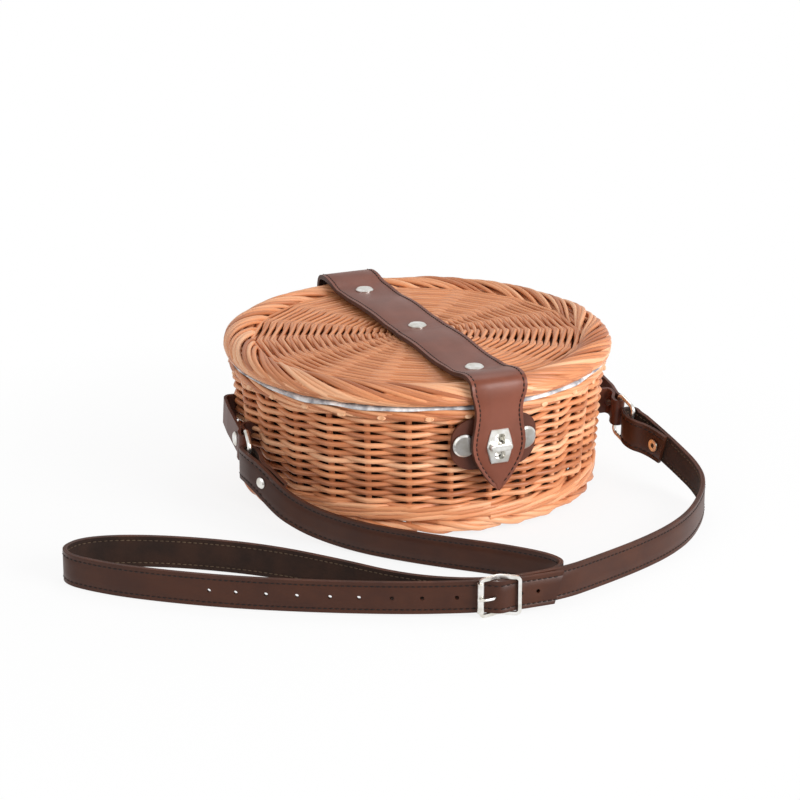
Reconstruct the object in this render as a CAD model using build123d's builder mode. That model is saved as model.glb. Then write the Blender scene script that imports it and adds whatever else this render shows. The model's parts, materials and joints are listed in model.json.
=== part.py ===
from build123d import *
from math import asin, atan2, cos, degrees, hypot, radians, sin, sqrt, tan
import os

os.makedirs("parts", exist_ok=True)

# A round willow shoulder bag that stands on its foot border. The origin is on the ground in the
# middle of the bag, +Z is up and the front, with the turn lock, looks along -Y.

# Basket
foot_radius = 113.5
wall_low, wall_high = 9.3, 76.7
wall_radius_low, wall_radius_high = 114.0, 119.0
weave_thick = 3.8
weave_rows = 10
stake_count = 28
stake_diameter = 3.4
border_low, border_high = 77.0, 85.0
border_radius = 119.8
base_low, base_high = 3.0, 7.4
lining_thick = 1.0
lining_gap = 12.0

# Lid
lid_low = 86.6
lid_radius = 123.0
lid_weave_radius = 109.7
lid_dome = 96.5
spoke_count = 16
spoke_phase = 6.5

# Broad leather strap that is hinge, trim and closing tab in one
leather = 3.0
strap_width = 37.0
tab_face = -123.5
rear_face = 124.6
bend_y, bend_z = -119.0, 95.0
rivet_reach = 88.7

# Turn lock
lock_z = 60.8
plate_width, plate_height, plate_thick = 17.0, 21.5, 1.2
slot_width, slot_height = 6.4, 16.0
stem_diameter = 5.0
bar_length, bar_width, bar_thick = 14.6, 4.7, 3.0

# Patch behind the lock and leather tail at the back, with their rivets
patch_gap, patch_thick = 1.7, 1.6
patch_z, patch_angle = lock_z + 0.7, 9.6
tail_rivet_x, tail_rivet_z = 9.0, 66.0

# Hangers and rings at the two sides
hanger_width, hanger_thick = 18.0, 1.8
hanger_height = 48.0
hanger_slope = 11.5
ring_wire, ring_tall, ring_pitch = 2.8, 32.4, 16.0
ring_tilt, ring_drop = 8.0, 2.1

# Shoulder strap, standing on its edge on the ground
strap_tall, strap_thick = 20.0, 2.8
lift = 2.15

# Roller buckle
buckle_x, buckle_y, buckle_turn = -49.7, -237.3, -10.5


def wall_radius(z):
    """Outer radius of the wall at a height."""
    share = (z - wall_low) / (wall_high - wall_low)
    return wall_radius_low + share * (wall_radius_high - wall_radius_low)


lean = degrees(atan2(wall_radius_high - wall_radius_low, wall_high - wall_low))


def wall_plane(angle, z, gap):
    """A plane on the leaning wall, facing out, at an angle from the front."""
    out = Vector(sin(radians(angle)), -cos(radians(angle)), 0)
    normal = out * cos(radians(lean)) - Vector(0, 0, sin(radians(lean)))
    return Plane(origin=out * (wall_radius(z) + gap) + Vector(0, 0, z), z_dir=normal)


def write(piece, name):
    """Label a finished piece and write it."""
    piece.part.label = name
    export_step(piece.part, f"parts/{name}.step")


# Foot border: a thick rolled ring, flat where it stands
with BuildPart() as foot_border:
    with BuildSketch(Plane.XZ):
        with BuildLine():
            ThreePointArc((110, 0), (113.5, 3.6), (112.6, 9.0))
            Line((112.6, 9.0), (104.5, 9.0))
            ThreePointArc((104.5, 9.0), (103.0, 4.5), (106, 0))
            Line((106, 0), (110, 0))
        make_face()
    revolve(axis=Axis.Z)
write(foot_border, "foot_border")

# Woven base, ringed underneath like its rows of willow
with BuildPart() as base_weave:
    with BuildSketch(Plane.XZ):
        with BuildLine():
            rings = 8
            pitch = (102.4 - 6.4) / rings
            Polyline((6.4, base_low), (0, base_low), (0, base_high), (102.4, base_high), (102.4, base_low))
            for k in range(rings):
                ThreePointArc(
                    (102.4 - k * pitch, base_low),
                    (102.4 - (k + 0.5) * pitch, base_low + 1.0),
                    (102.4 - (k + 1) * pitch, base_low),
                )
        make_face()
    revolve(axis=Axis.Z)
write(base_weave, "base_weave")

# Star of base sticks, crossing in the middle of the base
with BuildPart() as base_sticks:
    with BuildSketch(Plane.XY.offset(base_high + 0.1)):
        Circle(16)
        with PolarLocations(0, spoke_count // 2, angular_range=180, endpoint=False):
            SlotOverall(204, 4.2)
    extrude(amount=3.4)
write(base_sticks, "base_sticks")

# Side stakes, bent up between the wall's weavers and the lining
with BuildPart() as side_stakes:
    for k in range(stake_count):
        angle = -90 + k * 360 / stake_count
        foot_at = wall_radius(wall_low) - weave_thick - stake_diameter / 2 - 0.2
        foot_point = Vector(foot_at, 0, wall_low).rotate(Axis.Z, angle)
        stake_axis = Vector(sin(radians(lean)), 0, cos(radians(lean))).rotate(Axis.Z, angle)
        with BuildSketch(Plane(origin=foot_point, z_dir=stake_axis)):
            Circle(stake_diameter / 2)
        extrude(amount=67.2)
write(side_stakes, "side_stakes")


# Planes in which the hangers lie: X runs outward, Y forward and down along the strap
def hanger_plane(side):
    outward = Vector(-0.9937 * side, 0.112 * side, 0)
    forward = Vector(-0.112, -0.9937, 0)
    slope = radians(hanger_slope)
    up = Vector(0, 0, cos(slope)) + forward * sin(slope)
    return Plane(origin=(0, 0, hanger_height), x_dir=outward, z_dir=up * side)


left_plane, right_plane = hanger_plane(1), hanger_plane(-1)

# Where the ring's inner bar lies in each hanger (outward, forward), and how far the ring swings out
left_bar, left_swing = (121.5, 30.0), 4.0
right_bar, right_swing = (125.2, 31.0), 15.0
slot_reach = 17.8


def hanger(plane, bar, belly):
    """A closed leather loop round two side stakes, with a teardrop for the ring at its front."""
    out, forward = bar
    loop = 3.2
    points = [
        (106.6, -slot_reach),
        (belly - 0.6, -slot_reach),
        (belly, -2),
        (out + 1.8, 15),
        (out + 1.5, 24.6),
        (out + loop, forward - 1.5),
        (out + loop, forward + 4.0),
        (out - loop, forward + 4.0),
        (out - loop, forward - 1.5),
        (out - 0.5, 24.6),
        (out - 0.7, 20),
        (out - 2.6, slot_reach),
        (106.6, slot_reach),
    ]
    radii = [2.5, 3.5, 30, 12, 4, 5, 2.9, 2.9, 5, 4, 2, 1.2, 2.5]
    with BuildPart() as band:
        with BuildSketch(plane):
            with BuildLine():
                FilletPolyline(*points, radius=radii, close=True)
            middle = make_face(mode=Mode.PRIVATE)
            offset(middle, amount=hanger_thick / 2, kind=Kind.INTERSECTION)
            offset(middle, amount=-hanger_thick / 2, kind=Kind.INTERSECTION, mode=Mode.SUBTRACT)
        extrude(amount=hanger_width / 2, both=True)
        with BuildSketch(Plane(plane.origin, x_dir=plane.y_dir, z_dir=plane.x_dir)):
            with Locations((rivet_forward, 0)):
                Circle(2.1)
        extrude(amount=out + 6, mode=Mode.SUBTRACT)
    return band


rivet_forward = 21.2
hanger_left = hanger(left_plane, left_bar, 123.8)
hanger_right = hanger(right_plane, right_bar, 124.4)
write(hanger_left, "hanger_left")
write(hanger_right, "hanger_right")


def cap(face, diameter, height):
    """A domed rivet cap standing on a face, in the open part."""
    with BuildSketch(face) as rim:
        Circle(diameter / 2)
    extrude(rim.sketch, amount=height * 0.45)
    with BuildSketch(face.offset(height * 0.45)) as crown:
        Circle(diameter / 2)
    extrude(crown.sketch, amount=height * 0.55, taper=50)


# Rivets of the two hangers, each a cap outside, a shank and a tail cap inside
with BuildPart() as hanger_rivets:
    for plane, bar in ((left_plane, left_bar), (right_plane, right_bar)):
        across = Plane(plane.origin, x_dir=plane.y_dir, z_dir=plane.x_dir)
        middle = across.from_local_coords((rivet_forward, 0, bar[0] + 2.1 + hanger_thick / 2 + 0.12))
        face = Plane(middle, x_dir=across.x_dir, z_dir=across.z_dir)
        cap(face, 9.0, 1.5)
        with BuildSketch(face):
            Circle(1.9)
        extrude(amount=-6.45)
        back = face.offset(-5.85)
        with BuildSketch(back):
            Circle(2.2)
        extrude(amount=-0.65)
write(hanger_rivets, "hanger_rivets")


# Wall: rows of weavers as rounded ribs, with the slots that the hangers pass through
with BuildPart() as wall_weave:
    pitch = (wall_high - wall_low) / weave_rows
    with BuildSketch(Plane.XZ):
        with BuildLine():
            for k in range(weave_rows):
                low, high = wall_low + k * pitch, wall_low + (k + 1) * pitch
                mid = (low + high) / 2
                ThreePointArc(
                    (wall_radius(low) - 1.3, low),
                    (wall_radius(mid), mid),
                    (wall_radius(high) - 1.3, high),
                )
            top_inner = (wall_radius(wall_high) - weave_thick, wall_high)
            low_inner = (wall_radius(wall_low) - weave_thick, wall_low)
            Polyline((wall_radius(wall_high) - 1.3, wall_high), top_inner, low_inner, (wall_radius(wall_low) - 1.3, wall_low))
        make_face()
    revolve(axis=Axis.Z)
    for plane in (left_plane, right_plane):
        for reach in (-slot_reach, slot_reach):
            with BuildSketch(Plane(plane.from_local_coords((100, reach, 0)), x_dir=plane.y_dir, z_dir=plane.x_dir)):
                RectangleRounded(hanger_thick + 0.8, hanger_width + 0.8, 1.2)
            extrude(amount=24, mode=Mode.SUBTRACT)
    for angle in (-patch_angle, patch_angle):
        with BuildSketch(wall_plane(angle, patch_z, 2)):
            Circle(2.1)
        extrude(amount=-12, mode=Mode.SUBTRACT)
    with BuildSketch(Plane.XZ.offset(-105)):
        with Locations((-tail_rivet_x, tail_rivet_z), (tail_rivet_x, tail_rivet_z)):
            Circle(2.1)
    extrude(amount=-25, mode=Mode.SUBTRACT)
write(wall_weave, "wall_weave")

# Top border: two rolled rods laid over the wall
with BuildPart() as top_border:
    with BuildSketch(Plane.XZ):
        with BuildLine():
            ThreePointArc((118.2, border_low), (border_radius, 79.2), (118.9, 81.2))
            ThreePointArc((118.9, 81.2), (border_radius, 83.2), (117.6, border_high))
            ThreePointArc((117.6, border_high), (113, 84.2), (110.4, border_high))
            Polyline((110.4, border_high), (109.6, 83.5), (109.3, border_low), (118.2, border_low))
        make_face()
    revolve(axis=Axis.Z)
write(top_border, "top_border")

# Cloth lining: bottom, sides and a hem folded outward over the top border
with BuildPart() as lining:
    with BuildSketch(Plane.XZ):
        with BuildLine():
            bottom = base_high + 3.9
            side_low = wall_radius(bottom) - lining_gap
            side_high = wall_radius(border_high) - lining_gap
            Polyline(
                (0, bottom),
                (side_low, bottom),
                (side_high, 85.1),
                (119.9, 85.1),
                (120.1, 82.4),
                (121.1, 82.4),
                (120.9, 86.1),
                (side_high - lining_thick, 86.1),
                (side_low - lining_thick, bottom + lining_thick),
                (0, bottom + lining_thick),
                close=True,
            )
        make_face()
    revolve(axis=Axis.Z)
write(lining, "lining")


# Front patch: a rounded leather panel that follows the wall, with the lock in its middle
def shell(inner_gap, thick, low, high):
    """Keep of the open part only a shell that follows the wall."""
    with BuildSketch(Plane.XZ) as slice:
        with BuildLine():
            inner_low, inner_high = wall_radius(low) + inner_gap, wall_radius(high) + inner_gap
            Polyline(
                (inner_low, low),
                (inner_low + thick, low),
                (inner_high + thick, high),
                (inner_high, high),
                close=True,
            )
        make_face()
    revolve(slice.sketch, axis=Axis.Z, mode=Mode.INTERSECT)


with BuildPart() as front_patch:
    with BuildSketch(Plane.XZ.offset(100)):
        with Locations((0, patch_z)):
            RectangleRounded(56, 33, 13)
    extrude(amount=30)
    shell(patch_gap, patch_thick, 40, 82)
    for angle in (-patch_angle, patch_angle):
        with BuildSketch(wall_plane(angle, patch_z, patch_gap + patch_thick + 1)):
            Circle(2.1)
        extrude(amount=-6, mode=Mode.SUBTRACT)
    with BuildSketch(Plane.XZ.offset(100)):
        with Locations((-5.5, lock_z), (5.5, lock_z)):
            Rectangle(1.6, 4.4)
    extrude(amount=30, mode=Mode.SUBTRACT)
write(front_patch, "front_patch")

# Two large rivets that hold the patch to the wall
with BuildPart() as patch_rivets:
    for angle in (-patch_angle, patch_angle):
        face = wall_plane(angle, patch_z, patch_gap + patch_thick + 0.3)
        cap(face, 14.6, 1.8)
        with BuildSketch(face):
            Circle(1.9)
        extrude(amount=-8.3)
        with BuildSketch(face.offset(-7.6)):
            Circle(3.8)
        extrude(amount=-0.7)
write(patch_rivets, "patch_rivets")

# Turn lock: base plate with collar and two legs, and a washer behind the patch
with BuildPart() as lock_base:
    with BuildSketch(Plane.XZ.offset(121.8)):
        with Locations((0, lock_z)):
            Ellipse(9.5, 7.5)
    extrude(amount=0.9)
    with BuildSketch(Plane.XZ.offset(122.4)):
        with Locations((0, lock_z)):
            Circle(stem_diameter / 2 + 0.45)
    extrude(amount=1.0)
    with BuildSketch(Plane.XZ.offset(118.3)):
        with Locations((-5.5, lock_z), (5.5, lock_z)):
            Rectangle(1.0, 3.6)
    extrude(amount=3.9)
    with BuildSketch(Plane.XZ.offset(121.5)):
        with Locations((0, lock_z)):
            Circle(stem_diameter / 2 + 0.05)
    extrude(amount=3.0, mode=Mode.SUBTRACT)
write(lock_base, "lock_base")

with BuildPart() as lock_washer:
    with BuildSketch(Plane.XZ.offset(118.3)):
        with Locations((0, lock_z)):
            RectangleRounded(14, 8, 2.5)
        with Locations((-5.5, lock_z), (5.5, lock_z)):
            Rectangle(1.2, 3.8, mode=Mode.SUBTRACT)
    extrude(amount=0.55)
write(lock_washer, "lock_washer")

# Turning piece of the lock: a stem in the collar and a bar that bars the slot
with BuildPart() as toggle_bar:
    with BuildSketch(Plane.XZ.offset(122.0)):
        with Locations((0, lock_z)):
            Circle(stem_diameter / 2)
    extrude(amount=6.2)
    with BuildSketch(Plane.XZ.offset(128.1)):
        with Locations((0, lock_z)):
            SlotOverall(bar_length, bar_width)
    extrude(amount=bar_thick)
    fillet(toggle_bar.faces().sort_by(Axis.Y)[0].edges(), 0.9)
write(toggle_bar, "toggle_bar")

# Lid: star of sticks under the weave, with a hole for the middle rivet
with BuildPart() as lid_sticks:
    with BuildSketch(Plane.XY.offset(87.0)):
        Circle(13)
        with PolarLocations(0, spoke_count // 2, start_angle=spoke_phase, angular_range=180, endpoint=False):
            SlotOverall(216, 4.2)
        Circle(2.2, mode=Mode.SUBTRACT)
    extrude(amount=2.7)
write(lid_sticks, "lid_sticks")

# Woven lid, slightly domed, in rings of rods
lid_rings = 12
with BuildPart() as lid_weave:
    with BuildSketch(Plane.XZ):
        with BuildLine():
            step = (lid_weave_radius - 8.0) / lid_rings
            rises = [8.0 + k * step for k in range(lid_rings + 1)]
            heights = [lid_dome - 2 * (r / 100) ** 2 - 0.8 for r in rises]
            Line((0, 95.9), (8.0, heights[0]))
            for k in range(lid_rings):
                mid = (rises[k] + rises[k + 1]) / 2
                ThreePointArc(
                    (rises[k], heights[k]),
                    (mid, (heights[k] + heights[k + 1]) / 2 + 0.8),
                    (rises[k + 1], heights[k + 1]),
                )
            Polyline((lid_weave_radius, heights[-1]), (lid_weave_radius, 89.8), (0, 89.8), (0, 95.9))
        make_face()
    revolve(axis=Axis.Z)
    with BuildSketch(Plane.XY.offset(85)):
        with Locations((0, rivet_reach), (0, 0), (0, -rivet_reach)):
            Circle(2.2)
    extrude(amount=15, mode=Mode.SUBTRACT)
write(lid_weave, "lid_weave")

# Rolled border of the lid
with BuildPart() as lid_border:
    with BuildSketch(Plane.XZ):
        with BuildLine():
            ThreePointArc((118.8, lid_low), (121.9, 88.9), (121.6, 91.2))
            ThreePointArc((121.6, 91.2), (lid_radius, 94.2), (121.0, 97.2))
            ThreePointArc((121.0, 97.2), (117.5, 98.9), (114.4, 97.6))
            ThreePointArc((114.4, 97.6), (112.3, 97.9), (110.0, 95.4))
            Polyline((110.0, 95.4), (110.0, 90.0), (113.0, lid_low), (118.8, lid_low))
        make_face()
    revolve(axis=Axis.Z)
write(lid_border, "lid_border")

# Broad strap over the lid, down its back to the hinge and round its front to the tab
half = leather / 2
front_middle = tab_face - half
rear_middle = rear_face + half
bend_radius = bend_y - front_middle


def band(points, radii, width, thick):
    """Extrude a strip of leather whose middle line is drawn in the YZ plane."""
    with BuildSketch(Plane.YZ) as side:
        with BuildLine() as run:
            FilletPolyline(*points, radius=radii)
        trace(run.line, line_width=thick)
    extrude(side.sketch, amount=width / 2, both=True)


with BuildPart() as lid_strap:
    points = [
        (rear_middle, 88.5),
        (rear_middle, 100.8),
        (117.5, 101.0),
        (104, 98.6),
        (rivet_reach, 97.2),
        (0, 98.6),
        (-rivet_reach, 97.2),
        (-104, 98.6),
        (-112, bend_z + bend_radius),
        (bend_y, bend_z + bend_radius),
    ]
    band(points, [5.5, 12, 40, 90, 900, 90, 40, 15], strap_width, leather)
    with BuildSketch(Plane.XY.offset(90)):
        with Locations((0, rivet_reach), (0, 0), (0, -rivet_reach)):
            Circle(2.2)
    extrude(amount=15, mode=Mode.SUBTRACT)
write(lid_strap, "lid_strap")

with BuildPart() as tab_bend:
    with BuildSketch(Plane.YZ):
        with BuildLine():
            inner, outer = bend_radius - half, bend_radius + half
            CenterArc((bend_y, bend_z), inner, 91, 88)
            CenterArc((bend_y, bend_z), outer, 91, 88)
            for angle in (91, 179):
                ray = Vector(cos(radians(angle)), sin(radians(angle)))
                Line(Vector(bend_y, bend_z) + ray * inner, Vector(bend_y, bend_z) + ray * outer)
        make_face()
    extrude(amount=strap_width / 2, both=True)
write(tab_bend, "tab_bend")

# Rivets of the lid: domed caps on the strap, tails under the weave
with BuildPart() as lid_rivets:
    for y, top, tail in ((rivet_reach, 99.3, 89.6), (0, 100.3, 86.8), (-rivet_reach, 99.3, 89.6)):
        face = Plane(origin=(0, y, top), z_dir=(0, 0, 1))
        cap(face, 11.6, 1.4)
        with BuildSketch(face):
            Circle(2.0)
        extrude(amount=tail - 0.7 - top)
        with BuildSketch(Plane(origin=(0, y, tail), z_dir=(0, 0, 1))):
            Circle(4.5)
        extrude(amount=-0.8)
write(lid_rivets, "lid_rivets")

# Closing tab: waisted below the bend, round in the middle and pointed at its tip
with BuildPart() as strap_tab:
    with BuildSketch(Plane.XZ.offset(-tab_face)):
        with BuildLine():
            Line((strap_width / 2, bend_z - 0.2), (-strap_width / 2, bend_z - 0.2))
            Spline(
                (-strap_width / 2, bend_z - 0.2),
                (-15.5, 83.5),
                (-17.8, 62),
                (-9.5, 42.5),
                (0, 32),
                tangents=((0.1, -1), (0.55, -0.83)),
            )
            Spline(
                (strap_width / 2, bend_z - 0.2),
                (15.5, 83.5),
                (17.8, 62),
                (9.5, 42.5),
                (0, 32),
                tangents=((-0.1, -1), (-0.55, -0.83)),
            )
        make_face()
        with Locations((0, lock_z)):
            RectangleRounded(slot_width + 1.6, slot_height + 1.6, 2.6, mode=Mode.SUBTRACT)
    extrude(amount=leather)
write(strap_tab, "strap_tab")


def slot_window():
    with Locations((0, lock_z)):
        RectangleRounded(slot_width, slot_height, 1.9, mode=Mode.SUBTRACT)


# Slot plate on the tab: a barrel of six sides with a collar through the leather
with BuildPart() as slot_plate:
    with BuildSketch(Plane.XZ.offset(-tab_face + leather + 0.05)):
        with BuildLine():
            side, tall, flat = plate_width / 2, plate_height / 2, 5.5
            RadiusArc((flat, lock_z + tall), (side, lock_z), 60, short_sagitta=True)
            RadiusArc((side, lock_z), (flat, lock_z - tall), 60, short_sagitta=True)
            Line((flat, lock_z - tall), (-flat, lock_z - tall))
            RadiusArc((-flat, lock_z - tall), (-side, lock_z), 60, short_sagitta=True)
            RadiusArc((-side, lock_z), (-flat, lock_z + tall), 60, short_sagitta=True)
            Line((-flat, lock_z + tall), (flat, lock_z + tall))
        make_face()
        slot_window()
    extrude(amount=plate_thick)
    chamfer(slot_plate.faces().sort_by(Axis.Y)[0].outer_wire().edges(), 0.5)
    with BuildSketch(Plane.XZ.offset(-tab_face)):
        with Locations((0, lock_z)):
            RectangleRounded(slot_width + 1.4, slot_height + 1.4, 2.5)
        slot_window()
    extrude(amount=leather + 0.1)
write(slot_plate, "slot_plate")

with BuildPart() as slot_backing:
    with BuildSketch(Plane.XZ.offset(-tab_face - 0.5)):
        with Locations((0, lock_z)):
            RectangleRounded(13, 20.5, 3)
        slot_window()
    extrude(amount=0.45)
write(slot_backing, "slot_backing")

# Back of the bag: a tail of leather on the wall and the bend that is the lid's hinge
with BuildPart() as hinge_tail:
    with BuildSketch(Plane.XZ.offset(-123.9)):
        with BuildLine():
            Polyline((-18.5, 60), (-18.5, 81), (18.5, 81), (18.5, 60))
            ThreePointArc((18.5, 60), (0, 46), (-18.5, 60))
        make_face()
        with Locations((-tail_rivet_x, tail_rivet_z), (tail_rivet_x, tail_rivet_z)):
            Circle(2.1, mode=Mode.SUBTRACT)
    extrude(amount=-leather)
write(hinge_tail, "hinge_tail")

with BuildPart() as hinge_bend:
    with BuildSketch(Plane.YZ):
        with BuildLine():
            tail_y = 123.9
            Line((tail_y, 81.05), (tail_y + leather, 81.05))
            Line((tail_y + leather, 81.05), (rear_face + leather, 88.45))
            Line((rear_face + leather, 88.45), (rear_face, 88.45))
            Line((rear_face, 88.45), (tail_y, 81.05))
        make_face()
    extrude(amount=strap_width / 2, both=True)
write(hinge_bend, "hinge_bend")

with BuildPart() as tail_rivets:
    for x in (-tail_rivet_x, tail_rivet_x):
        face = Plane(origin=(x, 127.0, tail_rivet_z), z_dir=(0, 1, 0))
        cap(face, 11.6, 1.4)
        with BuildSketch(face):
            Circle(1.9)
        extrude(amount=-14.4)
        with BuildSketch(face.offset(-14.4)):
            Circle(3.6)
        extrude(amount=0.7)
write(tail_rivets, "tail_rivets")


# Rings: rectangular wire loops, the inner bar in the hanger and the outer bar in the strap's fold
def ring_plane(plane, bar, swing, side):
    """Plane of a ring: X from inner to outer bar, Y up along the bars, origin on the inner bar."""
    up = plane.z_dir * side
    tilt, out = radians(ring_tilt), radians(swing)
    forward = plane.y_dir * cos(tilt) - up * sin(tilt)
    along = up * cos(tilt) + plane.y_dir * sin(tilt)
    toward = forward * cos(out) + plane.x_dir * sin(out)
    origin = plane.origin + plane.x_dir * bar[0] + plane.y_dir * bar[1] - up * ring_drop
    return Plane(origin=origin, x_dir=toward, z_dir=toward.cross(along))


def ring(plane):
    tall = (ring_tall - ring_wire) / 2
    with BuildPart() as loop:
        with BuildLine(plane) as path:
            FilletPolyline(
                (0, -tall), (ring_pitch, -tall), (ring_pitch, tall), (0, tall), radius=3.6, close=True
            )
        with BuildSketch(Plane(path.line @ 0, z_dir=path.line % 0)):
            Circle(ring_wire / 2)
        sweep(path=path.line)
    return loop


ring_left_plane = ring_plane(left_plane, left_bar, left_swing, 1)
ring_right_plane = ring_plane(right_plane, right_bar, right_swing, -1)
ring_left = ring(ring_left_plane)
ring_right = ring(ring_right_plane)
write(ring_left, "ring_left")
write(ring_right, "ring_right")
for name, plane in (("left", ring_left_plane), ("right", ring_right_plane)):
    outer = plane.from_local_coords((ring_pitch, 0, 0))
    print(name, "ring inner bar", plane.origin, "outer bar", outer, "bar axis", plane.y_dir)

# Shoulder strap. Its route is the middle line at half its width, drawn from above, and its edges
# follow a line of heights where it comes down from the rings and where the buckle lifts it.
fold_left = [
    (-123.3, -56.0), (-127.1, -47.0), (-130.2, -37.5), (-130.2, -23.2),
    (-121.8, -23.2), (-121.8, -38.5), (-124.0, -46.6), (-120.4, -54.8), (-117.2, -61.0),
]
fold_left_radii = [20, 20, 4.1, 4.1, 12, 6, 30]
long_route = [
    (-123.3, -56.0), (-120.6, -62.4), (-114.4, -72.0), (-103.0, -87.0), (-87.0, -113.0), (-68.0, -136.0),
    (-47.0, -157.5), (-27.0, -176.0), (-11.5, -193.0), (-2.0, -207.0), (-0.6, -218.5),
    (-9.5, -226.6), (-27.0, -228.0), (-48.0, -227.0), (-72.0, -217.5), (-97.0, -198.0),
    (-120.0, -165.0), (-150.0, -128.0), (-188.0, -98.0), (-222.0, -79.5), (-247.0, -73.5),
    (-261.5, -80.5), (-264.5, -93.0), (-256.5, -106.5), (-236.0, -129.0), (-192.0, -163.0),
    (-144.0, -191.0),
]


def buckle_point(along, out):
    """A point near the buckle: along its frame to the right, and out toward the front."""
    turn = radians(buckle_turn)
    return (
        buckle_x + along * cos(turn) + out * sin(turn),
        buckle_y + along * sin(turn) - out * cos(turn),
    )


buckled = [
    (-52.0, -12.6), (-19.0, -4.4), (-8.6, -3.8), (-2.2, 0.3), (2.4, 0.3), (9.0, -2.9), (16.0, -3.7),
    (39.5, -8.1),
]
long_route += [buckle_point(*point) for point in buckled]

fold_right = [
    (137.45, -86.0), (132.9, -64.0), (130.2, -58.0), (128.6, -52.0),
    (120.1, -52.0), (120.1, -64.0), (129.9, -72.6), (134.0, -84.0),
]
fold_right_radii = [30, 20, 3.8, 4.1, 8, 8]
short_route = [
    (137.45, -86.0), (139.6, -96.4), (142.0, -114.0), (138.5, -131.5), (126.0, -150.5),
    (106.0, -174.0), (83.0, -191.5), (55.5, -205.5), (24.0, -219.0),
]
short_route += [buckle_point(39.0, -11.4), buckle_point(13.1, -6.9)]

left_heights = [(-10, 34.9), (-38, 34.9), (-48, 31.8), (-56, 26.6), (-70, 17.8), (-86, 11.6), (-100, 10), (-130, 10)]
right_heights = [(-40, 38.6), (-50, 36.2), (-58, 33.6), (-86, 24.8), (-96.5, 21.4), (-114, 16.0), (-131.5, 12.2), (-150.5, 10), (-200, 10)]


def corner_radii(points):
    """As large an arc at each point of a route as its two runs allow."""
    radii = []
    for before, here, after in zip(points, points[1:], points[2:]):
        run_in, run_out = Vector(here) - Vector(before), Vector(after) - Vector(here)
        turn = radians(run_in.get_angle(run_out))
        radii.append(0.45 * min(run_in.length, run_out.length) / tan(turn / 2))
    return radii


def strip(points, radii, low=0.0, high=strap_tall, thick=strap_thick):
    """Add to the open part a strip of strap on its edge between two heights."""
    with BuildSketch(Plane.XY.offset(low)) as plan:
        with BuildLine() as run:
            FilletPolyline(*points, radius=radii)
        trace(run.line, line_width=thick)
    extrude(plan.sketch, amount=high - low)


def level(plane, heights, reach, mode=Mode.INTERSECT):
    """Keep what lies within half a strap's width of a line of heights."""
    with BuildSketch(plane) as side:
        with BuildLine():
            top = [(a, h + strap_tall / 2) for a, h in heights]
            low = [(a, h - strap_tall / 2) for a, h in reversed(heights)]
            Polyline(*top, *low, close=True)
        make_face()
    extrude(side.sketch, amount=reach, both=True, mode=mode)


def halfway(a, b):
    return ((a[0] + b[0]) / 2, (a[1] + b[1]) / 2)


long_radii = corner_radii(long_route)
short_radii = corner_radii(short_route)
print("long strap radii", [round(r, 1) for r in long_radii])
print("short strap radii", [round(r, 1) for r in short_radii])

# Buckle, set up in its own plane: X along its frame, Y up, Z out toward the front
turn = radians(buckle_turn)
buckle_plane = Plane(
    origin=(buckle_x, buckle_y, 0), x_dir=(cos(turn), sin(turn), 0), z_dir=(sin(turn), -cos(turn), 0)
)
frame_half, frame_wire, bow = 11.5, 2.0, 4.0
frame_high = strap_tall + 2 * frame_wire + 0.3
plan_plane = Plane(origin=(buckle_x, buckle_y, 0), x_dir=(cos(turn), sin(turn), 0), z_dir=(0, 0, 1))

# The long half of the strap, from the left fold to the round-pointed end beyond the buckle
leg_end, rise_start = 4, 27
leg_cut = halfway(long_route[leg_end], long_route[leg_end + 1])
rise_cut = halfway(long_route[rise_start - 1], long_route[rise_start])
with BuildPart() as strap_leg:
    strip([*long_route[: leg_end + 1], leg_cut], long_radii[:leg_end], 0, 60)
    level(Plane.YZ, left_heights, 160)

lifted = strap_tall / 2 + lift
with BuildPart() as strap_end:
    strip([rise_cut, *long_route[rise_start:]], long_radii[rise_start - 1 :], 0, 60)
    level(Plane.XZ, [(-160, 10), (-120, 10), (-68, lifted), (30, lifted)], 280)
    with BuildSketch(Plane.XZ):
        with BuildLine():
            Polyline((-14, 40), (-160, 40), (-160, -10), (-14, -10), (-14, lift))
            ThreePointArc((-14, lift), (-9.3, lifted), (-14, lifted + 10))
            Line((-14, lifted + 10), (-14, 40))
        make_face()
    extrude(amount=280, both=True, mode=Mode.INTERSECT)
    with BuildSketch(buckle_plane.offset(-10)):
        with Locations((-3.4, lifted)):
            SlotOverall(8.4, 3.0)
    extrude(amount=20, mode=Mode.SUBTRACT)

with BuildPart() as strap_long:
    add(strap_leg.part)
    add(strap_end.part)
    middle = [leg_cut, *long_route[leg_end + 1 : rise_start], rise_cut]
    strip(middle, long_radii[leg_end : rise_start - 1])
write(strap_long, "strap_long")

# The short half, from the right fold to the fold round the buckle's middle bar
leg_end, rise_start = 5, 8
leg_cut = halfway(short_route[leg_end], short_route[leg_end + 1])
rise_cut = halfway(short_route[rise_start - 1], short_route[rise_start])
with BuildPart() as short_leg:
    strip([*short_route[: leg_end + 1], leg_cut], short_radii[:leg_end], 0, 60)
    level(Plane.YZ, right_heights, 180)

with BuildPart() as short_end:
    strip([rise_cut, *short_route[rise_start:]], short_radii[rise_start - 1 :], 0, 60)
    level(Plane.XZ, [(60, 10), (40, 10), (-8, lifted), (-80, lifted)], 280)

with BuildPart() as strap_short:
    add(short_leg.part)
    add(short_end.part)
    middle = [leg_cut, *short_route[leg_end + 1 : rise_start], rise_cut]
    strip(middle, short_radii[leg_end : rise_start - 1])
write(strap_short, "strap_short")

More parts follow.
